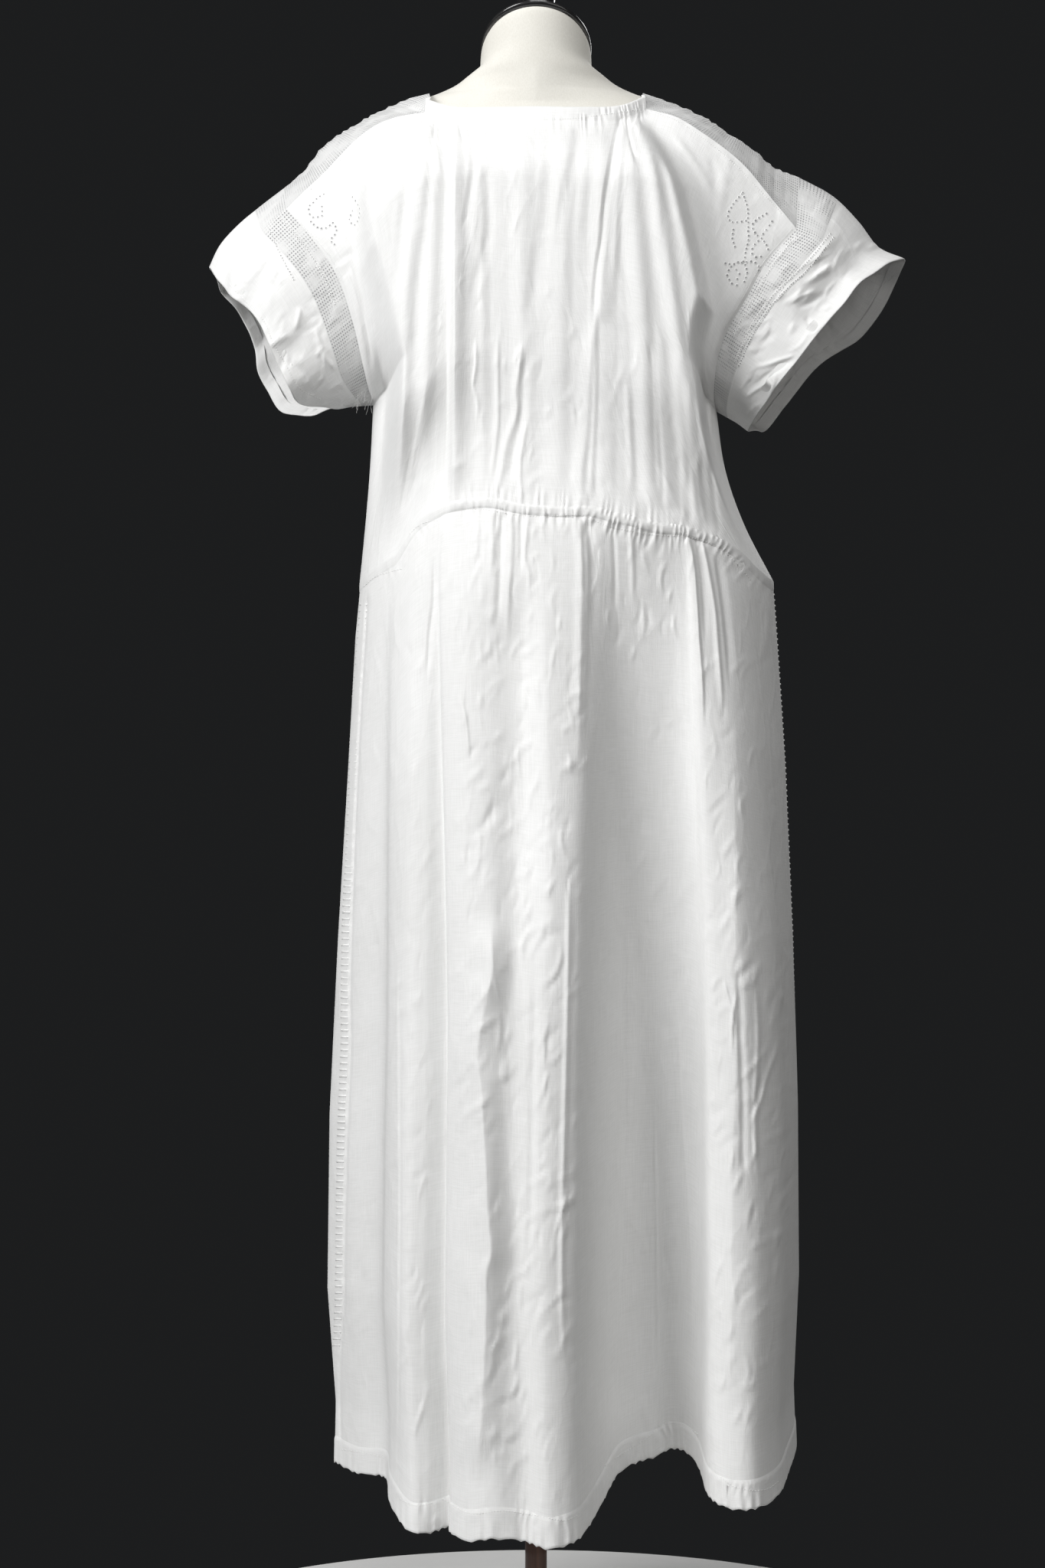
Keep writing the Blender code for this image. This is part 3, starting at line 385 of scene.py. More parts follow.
# Stitched lines: pitch, stitch length, pixels
STITCHES = (
    (3.4, 2.1, ((549, 160), (600, 159), (650, 158), (700, 157), (750, 155), (790, 150), (838, 143))),
    (3.6, 2.2, ((535, 698), (545, 688), (560, 681), (574, 680))),
    (3.6, 2.2, ((598, 668), (627, 665), (669, 672), (700, 675), (767, 675), (780, 682), (849, 698),
                (901, 702), (922, 708), (951, 725), (981, 759))),
    (3.8, 2.4, ((525, 743), (505, 748), (488, 755), (474, 768))),
    (3.8, 2.4, ((446, 1893), (468, 1896), (503, 1904))),
    (3.8, 2.4, ((522, 1957), (541, 1966), (566, 1962))),
    (3.8, 2.4, ((577, 1957), (614, 1976), (657, 1973), (700, 1979), (740, 1985), (756, 1978))),
    (3.8, 2.4, ((790, 1914), (807, 1902), (851, 1873), (863, 1861), (890, 1859), (916, 1876))),
    (3.8, 2.4, ((940, 1928), (961, 1942), (1003, 1944), (1018, 1933))),
    (3.2, 2.0, ((849, 145), (883, 158), (916, 180), (954, 210), (983, 240), (1024, 282))),
    (3.2, 2.0, ((546, 147), (512, 161), (466, 190), (443, 211), (423, 226), (401, 254))),
    (3.2, 2.0, ((383, 281), (405, 305), (431, 335), (446, 368))),
    (3.2, 2.0, ((1034, 300), (995, 346), (968, 393), (945, 431))),
    (3.4, 2.1, ((1178, 350), (1148, 378), (1117, 406), (1090, 442), (1052, 485), (1018, 535))),
    (3.4, 2.1, ((300, 372), (325, 398), (345, 420), (356, 446), (374, 478), (392, 508), (420, 522))),
)
# Small round holes of the cutwork in rows: pitch, radius in millimetres, pixels
HOLE_LINES = (
    # right sleeve top: a leaf, a spiral and a flower
    (5.6, 1.0, ((970, 252), (976, 272), (977, 292), (977, 311), (974, 330), (971, 342))),
    (5.6, .9, ((969, 254), (958, 266), (951, 284), (954, 290), (964, 291), (974, 289))),
    (5.6, .9, ((958, 300), (956, 311), (960, 323))),
    (5.6, 1.0, ((947, 344), (954, 346), (964, 343), (972, 343), (983, 342), (990, 348), (991, 354))),
    (5.6, .9, ((973, 346), (976, 356), (972, 368))),
    (5.6, 1.0, ((955, 348), (950, 359), (954, 369), (962, 373))),
    (5.6, .9, ((961, 352), (966, 358), (963, 365))),
    (5.6, 1.1, ((1001, 280), (992, 284), (984, 292), (984, 302), (993, 311), (1000, 318), (1003, 326))),
    (5.6, 1.1, ((1008, 290), (1002, 299), (997, 306))),
    (5.6, 1.0, ((990, 315), (984, 322), (982, 330), (986, 336), (994, 336))),
    # left sleeve top
    (5.6, .9, ((423, 254), (412, 262), (403, 272), (409, 284), (420, 282), (421, 270))),
    (5.6, .9, ((406, 290), (414, 297), (426, 298), (436, 292), (439, 304), (432, 314), (437, 320))),
    (5.6, .9, ((461, 258), (468, 268), (470, 282), (464, 294), (457, 290), (460, 276))),
    # drawn-thread rows of the sleeve bands
    (3.4, .7, ((1089, 311), (1059, 348), (1015, 391), (990, 425), (965, 478))),
    (3.4, .6, ((1084, 306), (1054, 343), (1010, 386), (985, 420), (961, 472))),
    (3.6, .6, ((1040, 308), (1006, 352), (982, 394), (958, 436))),
    (3.8, .6, ((366, 284), (395, 318), (420, 356), (438, 398))),
    (4.0, .6, ((352, 300), (366, 332), (384, 366))),
)
# Turned stand: height, radius. Millimetres.
POLE = ((28.3, 10.5), (60, 10.5), (200, 10.5), (400, 10.5), (600, 10.5), (861.7, 10.5))
BASE = ((0, 158), (1, 161.5), (3, 164), (6, 165), (11, 165), (14, 164.6), (16, 162), (17.5, 160.5),
        (20, 159.5), (22, 155), (23.5, 146), (24.5, 132), (25.2, 110), (26, 84), (26.8, 64),
        (27.6, 54), (28, 50))
FLOOR_RADIUS, FLOOR_HEIGHT = 0.42, -0.0005
LENS, SENSOR = 76.2, 36  # millimetres
BACKGROUND = (0.012, 0.0125, 0.013, 1)
# name, place, aim, size, watts, colour
LAMPS = (
    ("key", (-2.8, -2.35, 2.5), (0, 0, 1.1), 2.0, 144, (1, 1, 1)),
    ("fill", (2.4, -3.2, 1.3), (0, 0, 0.8), 2.6, 25, (1, 0.985, 0.96)),
    ("low fill", (-0.6, -3.4, 0.6), (0, 0, 0.5), 2.0, 4, (1, 1, 1)),
    ("top", (0.2, -1.7, 3.3), (0, 0, 1.35), 1.4, 34, (1, 1, 1)),
    ("behind", (0.8, 2.6, 2.4), (0, 0, 1.0), 1.8, 42, (1, 1, 1)),
)


def smooth(x):
    x = np.clip(x, 0, 1)
    return x * x * (3 - 2 * x)


def curve(points, shares, closed=False):
    """Smooth curve through the points, at these shares of its length."""
    p = np.asarray(points, float)
    if closed:
        p = np.vstack([p[-1:], p, p[:2]])
    else:
        p = np.vstack([2 * p[0] - p[1], p, 2 * p[-1] - p[-2]])
    knots = np.concatenate([[0], np.cumsum(np.linalg.norm(np.diff(p, axis=0), axis=1) ** 0.75)])
    fine = []
    for i in range(1, len(p) - 2):
        k = knots[i - 1:i + 3]
        t = np.linspace(k[1], k[2], 24, endpoint=i == len(p) - 3)[:, None]
        a = [((k[j + 1] - t) * p[i - 1 + j] + (t - k[j]) * p[i + j]) / (k[j + 1] - k[j]) for j in range(3)]
        b = [((k[j + 2] - t) * a[j] + (t - k[j]) * a[j + 1]) / (k[j + 2] - k[j]) for j in range(2)]
        fine.append(((k[2] - t) * b[0] + (t - k[1]) * b[1]) / (k[2] - k[1]))
    fine = np.vstack(fine)
    length = np.concatenate([[0], np.cumsum(np.linalg.norm(np.diff(fine, axis=0), axis=1))])
    at = np.asarray(shares) * length[-1]
    return np.stack([np.interp(at, length, fine[:, k]) for k in range(fine.shape[1])], axis=-1)


def through(rows, columns):
    """Smooth values of each column of a table at fractional row numbers."""
    p = np.asarray(rows, float)
    p = np.vstack([2 * p[0] - p[1], p, 2 * p[-1] - p[-2]])
    i = np.minimum(np.floor(columns).astype(int), len(p) - 4)
    t = (np.asarray(columns) - i)[:, None]
    a, b, c, d = p[i], p[i + 1], p[i + 2], p[i + 3]
    square, cube = a - 2.5 * b + 2 * c - d / 2, 1.5 * (b - c) + (d - a) / 2
    return b + t / 2 * (c - a) + t * t * square + t ** 3 * cube


def patch(top, bottom, left, right):
    """Grid of points, rows from top to bottom, that fills four edges."""
    n, m = len(top), len(left)
    u, v = np.linspace(0, 1, n)[None, :, None], np.linspace(0, 1, m)[:, None, None]
    sides = left[:, None] * (1 - u) + right[:, None] * u
    ends = top[None] * (1 - v) + bottom[None] * v
    corners = (top[0] * (1 - u) * (1 - v) + top[-1] * u * (1 - v)
               + bottom[0] * (1 - u) * v + bottom[-1] * u * v)
    return sides + ends - corners


def scaled(points):
    return np.asarray(points, float) * MM


# Shapes of the sewn pieces, as in the solids but finer.

def skirt_point(line, down, side):
    """Points of one skirt row: the columns' line values and the share of the way down."""
    waist_share, waist_z, hem_share, hem_y, hem_z = line.T[:5]
    edges = np.array(SKIRT_EDGES) * (1, MM, MM)
    low, high = (np.interp(down, edges[:, 0], edges[:, k]) for k in (1, 2))
    share = waist_share + (hem_share - waist_share) * smooth(down * 1.6 + 0.02)
    stands = WAIST_BACK if side < 0 else WAIST_FRONT
    waist_y = side * stands * np.sqrt(np.clip(1 - np.abs(waist_share) ** 2.2, 0, 1))
    open_ = down ** FOLD_GROWTH
    y = waist_y * (1 - open_) + hem_y * MM * open_
    z = (waist_z * (1 - down) + hem_z * down) * MM
    return np.stack([(low + high) / 2 + share * (high - low) / 2, y, z], axis=1)


def skirt(lines, side, split):
    """(casing, skirt, hem) grids of one half of the dress."""
    columns = [i + k / (row[5] * split) for i, row in enumerate(lines[:-1]) for k in range(row[5] * split)]
    line = through([row[:5] for row in lines], np.array(columns + [len(lines) - 1.0]))
    band_top = 1 - HEM_BAND / SKIRT_LENGTH
    downs = np.linspace(0, 1, SKIRT_ROWS + 1) ** SKIRT_ROW_POWER * band_top
    body = np.stack([skirt_point(line, d, side) for d in downs])
    hem = np.stack([skirt_point(line, d, side) for d in np.linspace(band_top, 1, HEM_ROWS + 1)])
    casing = body[0] + np.linspace(1, 0, CASING_ROWS + 1)[:, None, None] * np.array((0, 0, CASING))
    return casing, body, hem


def bodice(top, waist, left, right, side):
    grid = patch(top, waist, left, right)
    x, z = grid[..., 0], grid[..., 2]
    rows = np.linspace(0, 1, len(grid))[:, None]
    table = np.array(STAND_OFF[::-1]) * MM
    low, high = (np.interp(z, table[:, 0], table[:, k]) for k in (1, 2))
    low, high = np.maximum(low, x[:, :1] + 0.012), np.minimum(high, x[:, -1:] - 0.012)
    inside = smooth((x - low) / 0.024) * smooth((high - x) / 0.016)
    ramp = smooth(rows / 0.22) * smooth((1 - rows) / 0.3)
    stands = BACK_STANDS if side < 0 else FRONT_STANDS
    goal = stands + 0.018 * side * -1 * ((x - 0.01) / 0.17) ** 2
    grid[..., 1] += ramp * inside * (goal - grid[..., 1])
    if side < 0:
        for row in BODICE_FOLDS:
            at = np.interp(rows, (0, 0.45, 1), np.array(row[:3]) * MM)
            rise = np.interp(rows, (0, 0.45, 1), np.array(row[3:6]) * MM)
            away = x - at
            width = np.where(away < 0, row[6], row[7]) * MM
            fold = smooth(1 - np.abs(away) / width) * rise
            grid[..., 1] -= fold * smooth(rows / 0.08) * smooth((1 - rows) / 0.08)
    return grid


def mirrored_back(points):
    """Armhole or shoulder points on the front side of the dress."""
    return [(x, -y, z) for x, y, z in points]


def sleeve(armhole, cuff_points, rises, rows):
    """Grids of the sleeve band and sleeve, from the armhole ring outwards."""
    steps = np.concatenate([[0], np.cumsum(np.linalg.norm(np.diff(armhole, axis=0), axis=1))])
    cuff = curve(cuff_points, steps / steps[-1], closed=True)
    middle = (armhole[:-1].mean(0) + cuff[:-1].mean(0)) / 2
    axis = cuff[:-1].mean(0) - armhole[:-1].mean(0)
    axis /= np.linalg.norm(axis)
    grids = []
    for first, last, count in rows:
        points = []
        for t in np.linspace(first, last, count + 1):
            ring = armhole * (1 - t) + cuff * t
            out = ring - middle
            out -= (out @ axis)[:, None] * axis
            size = np.linalg.norm(out, axis=1)[:, None]
            upper = smooth((out[:, 2:3] / size + 0.2) / 0.9)
            table = np.array(SLEEVE_RISE) * (1, MM, MM)
            rise = curve(table[:, (0, rises)], np.linspace(0, 1, 60))
            points.append(ring + out / size * np.interp(t, rise[:, 0], rise[:, 1]) * upper)
        grids.append(np.stack(points))
    return grids


def dress_grids():
    """Every cloth piece as a fine grid: name, grid, closed round or not, sign that turns it outwards."""
    back_casing, back_skirt, back_hem = skirt(BACK_LINES, -1, FINE_BACK)
    front_casing, front_skirt, front_hem = skirt(FRONT_LINES, 1, FINE_FRONT)
    for back, front in ((back_casing, front_casing), (back_skirt, front_skirt), (back_hem, front_hem)):
        front[:, 0], front[:, -1] = back[:, -1], back[:, 0]

    def halves(split, turn, casing, neck_points, side):
        """The bodice of one side, and the edges that the bands are sewn to."""
        arm, down = np.linspace(0, 1, ARM_ROWS + 1), np.linspace(0, 1, SIDE_ROWS + 1)
        along = np.linspace(0, 1, BAND_COLUMNS * split + 1)
        sides = [curve(scaled(p), down) for p in (LEFT_SIDE, RIGHT_SIDE)]
        sides[0][-1], sides[1][-1] = casing[0, 0], casing[0, -1]
        arms = [curve(scaled(turn(p)), arm) for p in (LEFT_ARMHOLE, RIGHT_ARMHOLE)]
        edges = [np.vstack([a[:-1], s]) for a, s in zip(arms, sides)]
        shoulders = [curve(scaled(turn(p)), along) for p in (LEFT_SHOULDER, RIGHT_SHOULDER)]
        neck = curve(scaled(neck_points), np.linspace(0, 1, NECK_COLUMNS * split + 1))
        neck[0], neck[-1] = shoulders[0][-1], shoulders[1][-1]
        top = np.vstack([shoulders[0][:-1], neck, shoulders[1][-2::-1]])
        return bodice(top, casing[0], edges[0], edges[1], side), arms, neck

    back, arms, neck_back = halves(FINE_BACK, lambda p: p, back_casing, NECK_SEAM_BACK, -1)
    front, arms_f, neck_front = halves(FINE_FRONT, mirrored_back, front_casing[:, ::-1], NECK_SEAM_FRONT, 1)

    x, y, z = (v * MM for v in NECK_CORNER)
    rise = np.linspace(0, 1, BAND_ROWS + 1)[:, None, None]

    def neckband(seam, way):
        lean = np.zeros_like(seam)
        lean[:, 1] = -0.35 * seam[:, 1]
        up = seam + (0, 0, NECKBAND) + lean * 0.16
        up[0], up[-1] = (-x, way * y, z), (x, way * y, z + 2 * MM)
        return seam[None] * (1 - rise) + up[None] * rise

    back_band, front_band = neckband(neck_back, 1), neckband(neck_front, -1)

    def shoulder(points, crest, band_end, band_end_f):
        along = np.linspace(0, 1, BAND_COLUMNS * FINE_BACK + 1)
        back_edge = np.vstack([curve(scaled(points), along), band_end[1:]])
        front_edge = np.vstack([curve(scaled(mirrored_back(points)), along), band_end_f[1:]])
        shares = np.concatenate([np.linspace(0, 0.8, len(along)), np.linspace(0.8, 1, BAND_ROWS + 1)[1:]])
        middle = curve(scaled(crest), shares)
        half = ACROSS_SHOULDER // 2
        sections = []
        for a, m, b in zip(back_edge, middle, front_edge):
            lift = (m - (a + b) / 2) * 0.16
            over = a, (a + m) / 2 + lift, m, (b + m) / 2 + lift, b
            p = curve(over, np.linspace(0, 1, ACROSS_SHOULDER + 1))
            p[0], p[half], p[-1] = a, m, b
            sections.append(p)
        return np.stack(sections)

    left_band = shoulder(LEFT_SHOULDER, LEFT_CREST, back_band[:, 0], front_band[:, 0])
    right_band = shoulder(RIGHT_SHOULDER, RIGHT_CREST, back_band[:, -1], front_band[:, -1])

    def ring(armhole, armhole_f, band_grid):
        return np.vstack([armhole[::-1], band_grid[0, 1:-1], armhole_f])

    rows = ((0, SLEEVE_BAND, 24), (SLEEVE_BAND, 1, 44))
    rings = ring(arms[0], arms_f[0], left_band), ring(arms[1], arms_f[1], right_band)
    left_sleeve = sleeve(rings[0], scaled(LEFT_CUFF), 1, rows)
    right_sleeve = sleeve(rings[1], scaled(RIGHT_CUFF), 2, rows)
    quiet = np.vstack([rings[0], rings[1], back[ARM_ROWS::2, 0], back[ARM_ROWS::2, -1],
                       back_casing[::2, 0], back_casing[::2, -1], back_skirt[::2, 0], back_skirt[::2, -1],
                       back_hem[::3, 0], back_hem[::3, -1]])
    return (
        ("back_bodice", back, False, 1), ("front_bodice", front, False, -1),
        ("back_waist_casing", back_casing, False, 1), ("front_waist_casing", front_casing, False, 1),
        ("back_skirt", back_skirt, False, 1), ("front_skirt", front_skirt, False, 1),
        ("back_hem", back_hem, False, 1), ("front_hem", front_hem, False, 1),
        ("back_neckband", back_band[::-1], False, 1), ("front_neckband", front_band[::-1], False, -1),
        ("left_shoulder_band", left_band, False, 1), ("right_shoulder_band", right_band, False, -1),
        ("left_sleeve_band", left_sleeve[0], True, -1), ("left_sleeve", left_sleeve[1], True, -1),
        ("right_sleeve_band", right_sleeve[0], True, 1), ("right_sleeve", right_sleeve[1], True, 1),
    ), quiet


# Creases, gathers and puckers, worked out in the plane that the photo shows.

def from_pixels(pixels):
    """Sideways and height, in metres in the plane of the form's axis."""
    p = np.asarray(pixels, float)
    return np.stack([(p[..., 0] - MIDDLE[0]) / PIXELS, EYE[2] + (MIDDLE[1] - p[..., 1]) / PIXELS], axis=-1)


def seen(points, side):
    """Where points stand in that plane. The front of the dress gets the back's creases mirrored."""
    nearer = EYE[1] / (EYE[1] + side * points[..., 1])
    x = points[..., 0] if side < 0 else 0.05 - points[..., 0]
    return (x - EYE[0]) * nearer + EYE[0], (points[..., 2] - EYE[2]) * nearer + EYE[2]


def beside(path, x, z, wide):
    """Points near a path: which they are, how far right of it or above it, share of its length."""
    near = np.flatnonzero((x > path[:, 0].min() - wide) & (x < path[:, 0].max() + wide)
                          & (z > path[:, 1].min() - wide) & (z < path[:, 1].max() + wide))
    p = np.stack([x[near], z[near]], axis=1)
    best, off, share = np.full(len(near), 1e9), np.zeros(len(near)), np.zeros(len(near))
    for i in range(len(path) - 1):
        a, d = path[i], path[i + 1] - path[i]
        t = np.clip((p - a) @ d / max(d @ d, 1e-12), 0, 1)
        away = p - a - t[:, None] * d
        distance = np.hypot(away[:, 0], away[:, 1])
        closer = distance < best
        side = np.where(d[0] * away[:, 1] - d[1] * away[:, 0] > 0, 1, -1)
        best[closer] = distance[closer]
        off[closer] = (side * distance)[closer]
        share[closer] = ((i + t) / (len(path) - 1))[closer]
    return near, off, share


def fade(share, first, last):
    ends = np.ones_like(share)
    if first:
        ends *= smooth(share / first)
    if last:
        ends *= smooth((1 - share) / last)
    return ends


def crease_heights(x, z, rows):
    total = np.zeros(x.shape)
    for high, left, right, sharp, first, last, pixels in rows:
        path = curve(from_pixels(pixels), np.linspace(0, 1, 6 * len(pixels)))
        near, off, share = beside(path, x, z, max(left, right) / PIXELS)
        s = np.clip(np.abs(off) / np.where(off < 0, left, right) * PIXELS, 0, 1)
        profile = (1 - sharp) * smooth(1 - s) + sharp * (1 - s) ** 2
        total[near] += high * MM * profile * fade(share, first, last)
    return total


def pucker_heights(x, z, rows):
    total = np.zeros(x.shape)
    for i, (pitch, high, left, right, pixels) in enumerate(rows):
        path = curve(from_pixels(pixels), np.linspace(0, 1, 6 * len(pixels)))
        length = np.linalg.norm(np.diff(path, axis=0), axis=1).sum() * PIXELS
        near, off, share = beside(path, x, z, max(left, right) / PIXELS)
        s = np.clip(np.abs(off) / np.where(off < 0, left, right) * PIXELS, 0, 1)
        along = share * length / pitch
        along += 0.5 * np.sin(along * 0.83 + i) + 0.35 * np.sin(along * 2.1 + 2 * i)
        size = 0.75 + 0.35 * np.sin(along * 1.3 + i)
        wave = 1 - 2 * np.abs(np.cos(np.pi * along)) ** 1.4
        total[near] += high * MM * wave * size * (1 - smooth(s)) * fade(share, 0.03, 0.03)
    return total


def crumples(seed):
    """Short uneven creases scattered in the boxes, as rows of the crease table."""
    random = np.random.RandomState(seed)
    rows = []
    for left, top, right, bottom, count, length, width, high, lean, spread in CRUMPLES:
        for _ in range(count):
            middle = np.array((random.uniform(left, right), random.uniform(top, bottom)))
            angle = np.radians(lean + random.uniform(-spread, spread))
            half = length * random.uniform(0.4, 1.2) / 2
            up = np.array((np.sin(angle), -np.cos(angle)))
            across = np.array((up[1], -up[0]))
            bend = across * half * random.uniform(-0.4, 0.4)
            height = high * random.uniform(0.5, 1.2) * (1 if random.rand() < 0.65 else -0.8)
            widths = width * random.uniform(0.7, 1.5, 2)
            pixels = middle + up * half, middle + bend, middle - up * half
            rows.append((height, widths[0], widths[1], random.uniform(0.3, 0.9), 0.4, 0.4, pixels))
    return rows


def grid_normals(grid, closed, sign):
    if closed:
        across = np.roll(grid, -1, axis=1) - np.roll(grid, 1, axis=1)
        down = np.gradient(grid, axis=0)
    else:
        across, down = np.gradient(grid, axis=1), np.gradient(grid, axis=0)
    n = np.cross(across, down) * -sign
    return n / np.maximum(np.linalg.norm(n, axis=-1, keepdims=True), 1e-12)


def away_from(points, lines):
    """Distance from each point to the nearest of the seam points."""
    flat = points.reshape(-1, 3)
    best = np.full(len(flat), 1e9)
    for start in range(0, len(lines), 40):
        d = flat[:, None] - lines[None, start:start + 40]
        best = np.minimum(best, np.sqrt((d * d).sum(axis=2)).min(axis=1))
    return best.reshape(points.shape[:-1])


def relief(grid, normals, side, name, quiet, rows):
    """Height of creases and puckers at each point of a grid, for the back (-1) or the front (1)."""
    x, z = seen(grid, side)
    high = crease_heights(x.ravel(), z.ravel(), rows) + pucker_heights(x.ravel(), z.ravel(), PUCKERS)
    high = high.reshape(x.shape) * (1 if side < 0 else FRONT_RELIEF)
    if "sleeve" in name:
        high *= smooth(normals[..., 1] * side * 2)
    if "shoulder" in name:
        across = np.linspace(0, 2, grid.shape[1]) - 1
        high *= smooth(across * side * 1.6)
    still = 0.004 if "skirt" in name or "hem" in name else 0.010
    return high * smooth(away_from(grid, quiet) / still)


def flat_uv(grid):
    """Metres along and down the cloth, so that the weave follows it."""
    u, v = np.zeros(grid.shape[:2]), np.zeros(grid.shape[:2])
    u[:, 1:] = np.cumsum(np.linalg.norm(np.diff(grid, axis=1), axis=-1), axis=1)
    v[1:] = np.cumsum(np.linalg.norm(np.diff(grid, axis=0), axis=-1), axis=0)
    return np.stack(np.broadcast_arrays(u.mean(axis=0), v.mean(axis=1)[:, None]), -1)


def new_object(name, points, faces):
    """A smooth-shaded mesh object in the scene."""
    mesh = bpy.data.meshes.new(name)
    mesh.from_pydata(points, [], faces)
    mesh.shade_smooth()
    obj = bpy.data.objects.new(name, mesh)
    bpy.context.scene.collection.objects.link(obj)
    return obj


def cloth_mesh(name, grid, closed, sign, uv):
    """One smooth-shaded mesh of a grid. The last column of a closed grid is its first."""
    around = grid.shape[1] - 1 if closed else grid.shape[1]
    points = grid[:, :around].reshape(-1, 3)
    r, c = np.meshgrid(np.arange(grid.shape[0] - 1), np.arange(grid.shape[1] - 1), indexing="ij")
    n = (c + 1) % around
    quads = np.stack([r * around + c, (r + 1) * around + c, (r + 1) * around + n, r * around + n], -1)
    quads = quads.reshape(-1, 4)
    corners = np.stack([uv[:-1, :-1], uv[1:, :-1], uv[1:, 1:], uv[:-1, 1:]], axis=2).reshape(-1, 4, 2)
    if sign < 0:
        quads, corners = quads[:, ::-1], corners[:, ::-1]
    obj = new_object(name, points.tolist(), quads.tolist())
    obj.data.uv_layers.new(name="cloth").data.foreach_set("uv", corners.reshape(-1))
    return obj


def folded_in(grid, normals, edge, back, depth, count):
    """The grid with a turned allowance behind one of its edge rows (0 or -1)."""
    rim, way = grid[edge], (grid[1] - grid[0] if edge == 0 else grid[-2] - grid[-1])
    way = way / np.linalg.norm(way, axis=1)[:, None]
    turned = [rim - normals[edge] * back * 0.6 - way * back * 0.25]
    turned += [rim - normals[edge] * back + way * depth * t for t in np.linspace(0.08, 1, count)]
    turned = np.stack(turned)
    return np.concatenate([turned[::-1], grid]) if edge == 0 else np.concatenate([grid, turned])


def dressed(name, grid, closed, sign, quiet, rows):
    """A cloth piece with its creases, gathers and bands."""
    normals = grid_normals(grid, closed, sign)
    out = grid.copy()
    for side in (-1, 1):
        if not name.startswith("back" if side > 0 else "front"):
            out[..., 1] += side * relief(grid, normals, side, name, quiet, rows[side])
    t = np.linspace(0, 1, len(grid))[:, None]
    if "hem" in name or "casing" in name or "neckband" in name:
        swell = {"hem": 0.9, "casing": 1.1, "neckband": 0.3}[name.split("_")[-1]]
        if "casing" in name:
            swell = swell * (0.25 + 0.75 * smooth((0.15 - np.abs(grid[..., 0] - 0.045)) / 0.03))
        rim = 1 - (2 * np.abs(t - 0.5)) ** 3 if "hem" not in name else smooth(t / 0.12)
        out += normals * (swell * MM * rim)[..., None]
    if "hem" in name:
        along = flat_uv(grid)[..., 0] / 0.0135
        along = along + 0.5 * np.sin(along * 0.7) + 0.3 * np.sin(along * 1.9)
        out[..., 2] += 2.3 * MM * (np.abs(np.sin(np.pi * along)) - 0.5) * t ** 2
        out[..., 1] -= np.sign(normals[..., 1]) * 0.9 * MM * np.cos(2 * np.pi * along) * t
    if name.endswith("_sleeve"):
        around = flat_uv(grid)[-1:, :, 0] / flat_uv(grid)[-1, -1, 0] * 2 * np.pi
        ripple = np.sin(9 * around) + 0.7 * np.sin(14 * around + 1) + 0.5 * np.sin(5 * around + 2)
        out += normals * (1.5 * MM * ripple * smooth((t - 0.3) / 0.7))[..., None]
    if "shoulder" in name:
        along = flat_uv(grid)[:, :1, 1] / 0.0075
        along = along + 0.5 * np.sin(along * 0.9) + 0.2 * np.sin(along * 2.3)
        across = np.linspace(0, 1, grid.shape[1])
        wave = 0.8 * MM * np.sin(2 * np.pi * along) * smooth(across / 0.1) * smooth((1 - across) / 0.1)
        out += normals * (wave * smooth(t / 0.1) * smooth((1 - t) / 0.2))[..., None]
    return out, grid_normals(out, closed, sign)


def build_cloth(linen, openwork):
    grids, quiet = dress_grids()
    rows = {-1: list(CREASES) + crumples(BACK_SEED), 1: list(CREASES) + crumples(FRONT_SEED)}
    made = {}
    for name, grid, closed, sign in grids:
        out, normals = dressed(name, grid, closed, sign, quiet, rows)
        if "hem" in name:
            out = folded_in(out, normals, -1, 1.6 * MM, 20 * MM, 4)
        elif name.endswith("_sleeve"):
            out = folded_in(out, normals, -1, 1.2 * MM, 12 * MM, 4)
        elif "neckband" in name:
            out = folded_in(out, normals, 0, 1.4 * MM, 9 * MM, 3)
        obj = cloth_mesh(name + "_cloth", out, closed, sign, flat_uv(out))
        netted = "sleeve_band" in name or "shoulder_band" in name
        obj.data.materials.append(openwork if netted else linen)
        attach(obj, "root")
        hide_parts(name)
        made[name] = obj
    return made


# Small sewn details, laid on the cloth where the photo shows them.

def cloth_tree(objects):
    """Ray tree over the cloth that a ray from the camera can meet."""
    points, faces, start = [], [], 0
    for obj in objects:
        points += [v.co.copy() for v in obj.data.vertices]
        faces += [tuple(start + i for i in p.vertices) for p in obj.data.polygons]
        start += len(obj.data.vertices)
    return BVHTree.FromPolygons(points, faces)


def on_cloth(tree, pixel):
    """Place and outward direction of the cloth that shows at a pixel, or None."""
    x, z = from_pixels(pixel)
    eye = Vector(EYE)
    way = (Vector((x, 0, z)) - eye).normalized()
    place, normal, _, _ = tree.ray_cast(eye, way)
    if place is None or place.y > 0.2:
        return None
    return place, (normal if normal.dot(way) < 0 else -normal)


class Heap:
    """Many small solids gathered as one mesh."""

    def __init__(self):
        self.points, self.faces = [], []

    def add(self, points, faces):
        start = len(self.points)
        self.points += [tuple(p) for p in points]
        self.faces += [tuple(start + i for i in f) for f in faces]

    def mesh(self, name, material, slot):
        obj = new_object(name, self.points, self.faces)
        obj.data.materials.append(material)
        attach(obj, "root")


def stitch(heap, a, b, normal, half, high):
    """One thread between two points, as a low six-sided bar."""
    along = (b - a).normalized()
    side = along.cross(normal).normalized() * half
    ends = []
    for p, inset in ((a, along * half), (b, -along * half)):
        ends += [p + inset * 0.2 + side * w - normal * 0.2 * MM for w in (-1, 1)]
        ends += [p + inset * 0.8 + side * w * 0.6 + normal * high for w in (-1, 1)]
    faces = ((0, 1, 5, 4), (1, 3, 7, 5), (3, 2, 6, 7), (2, 0, 4, 6), (0, 2, 3, 1), (4, 5, 7, 6))
    heap.add(ends, faces)


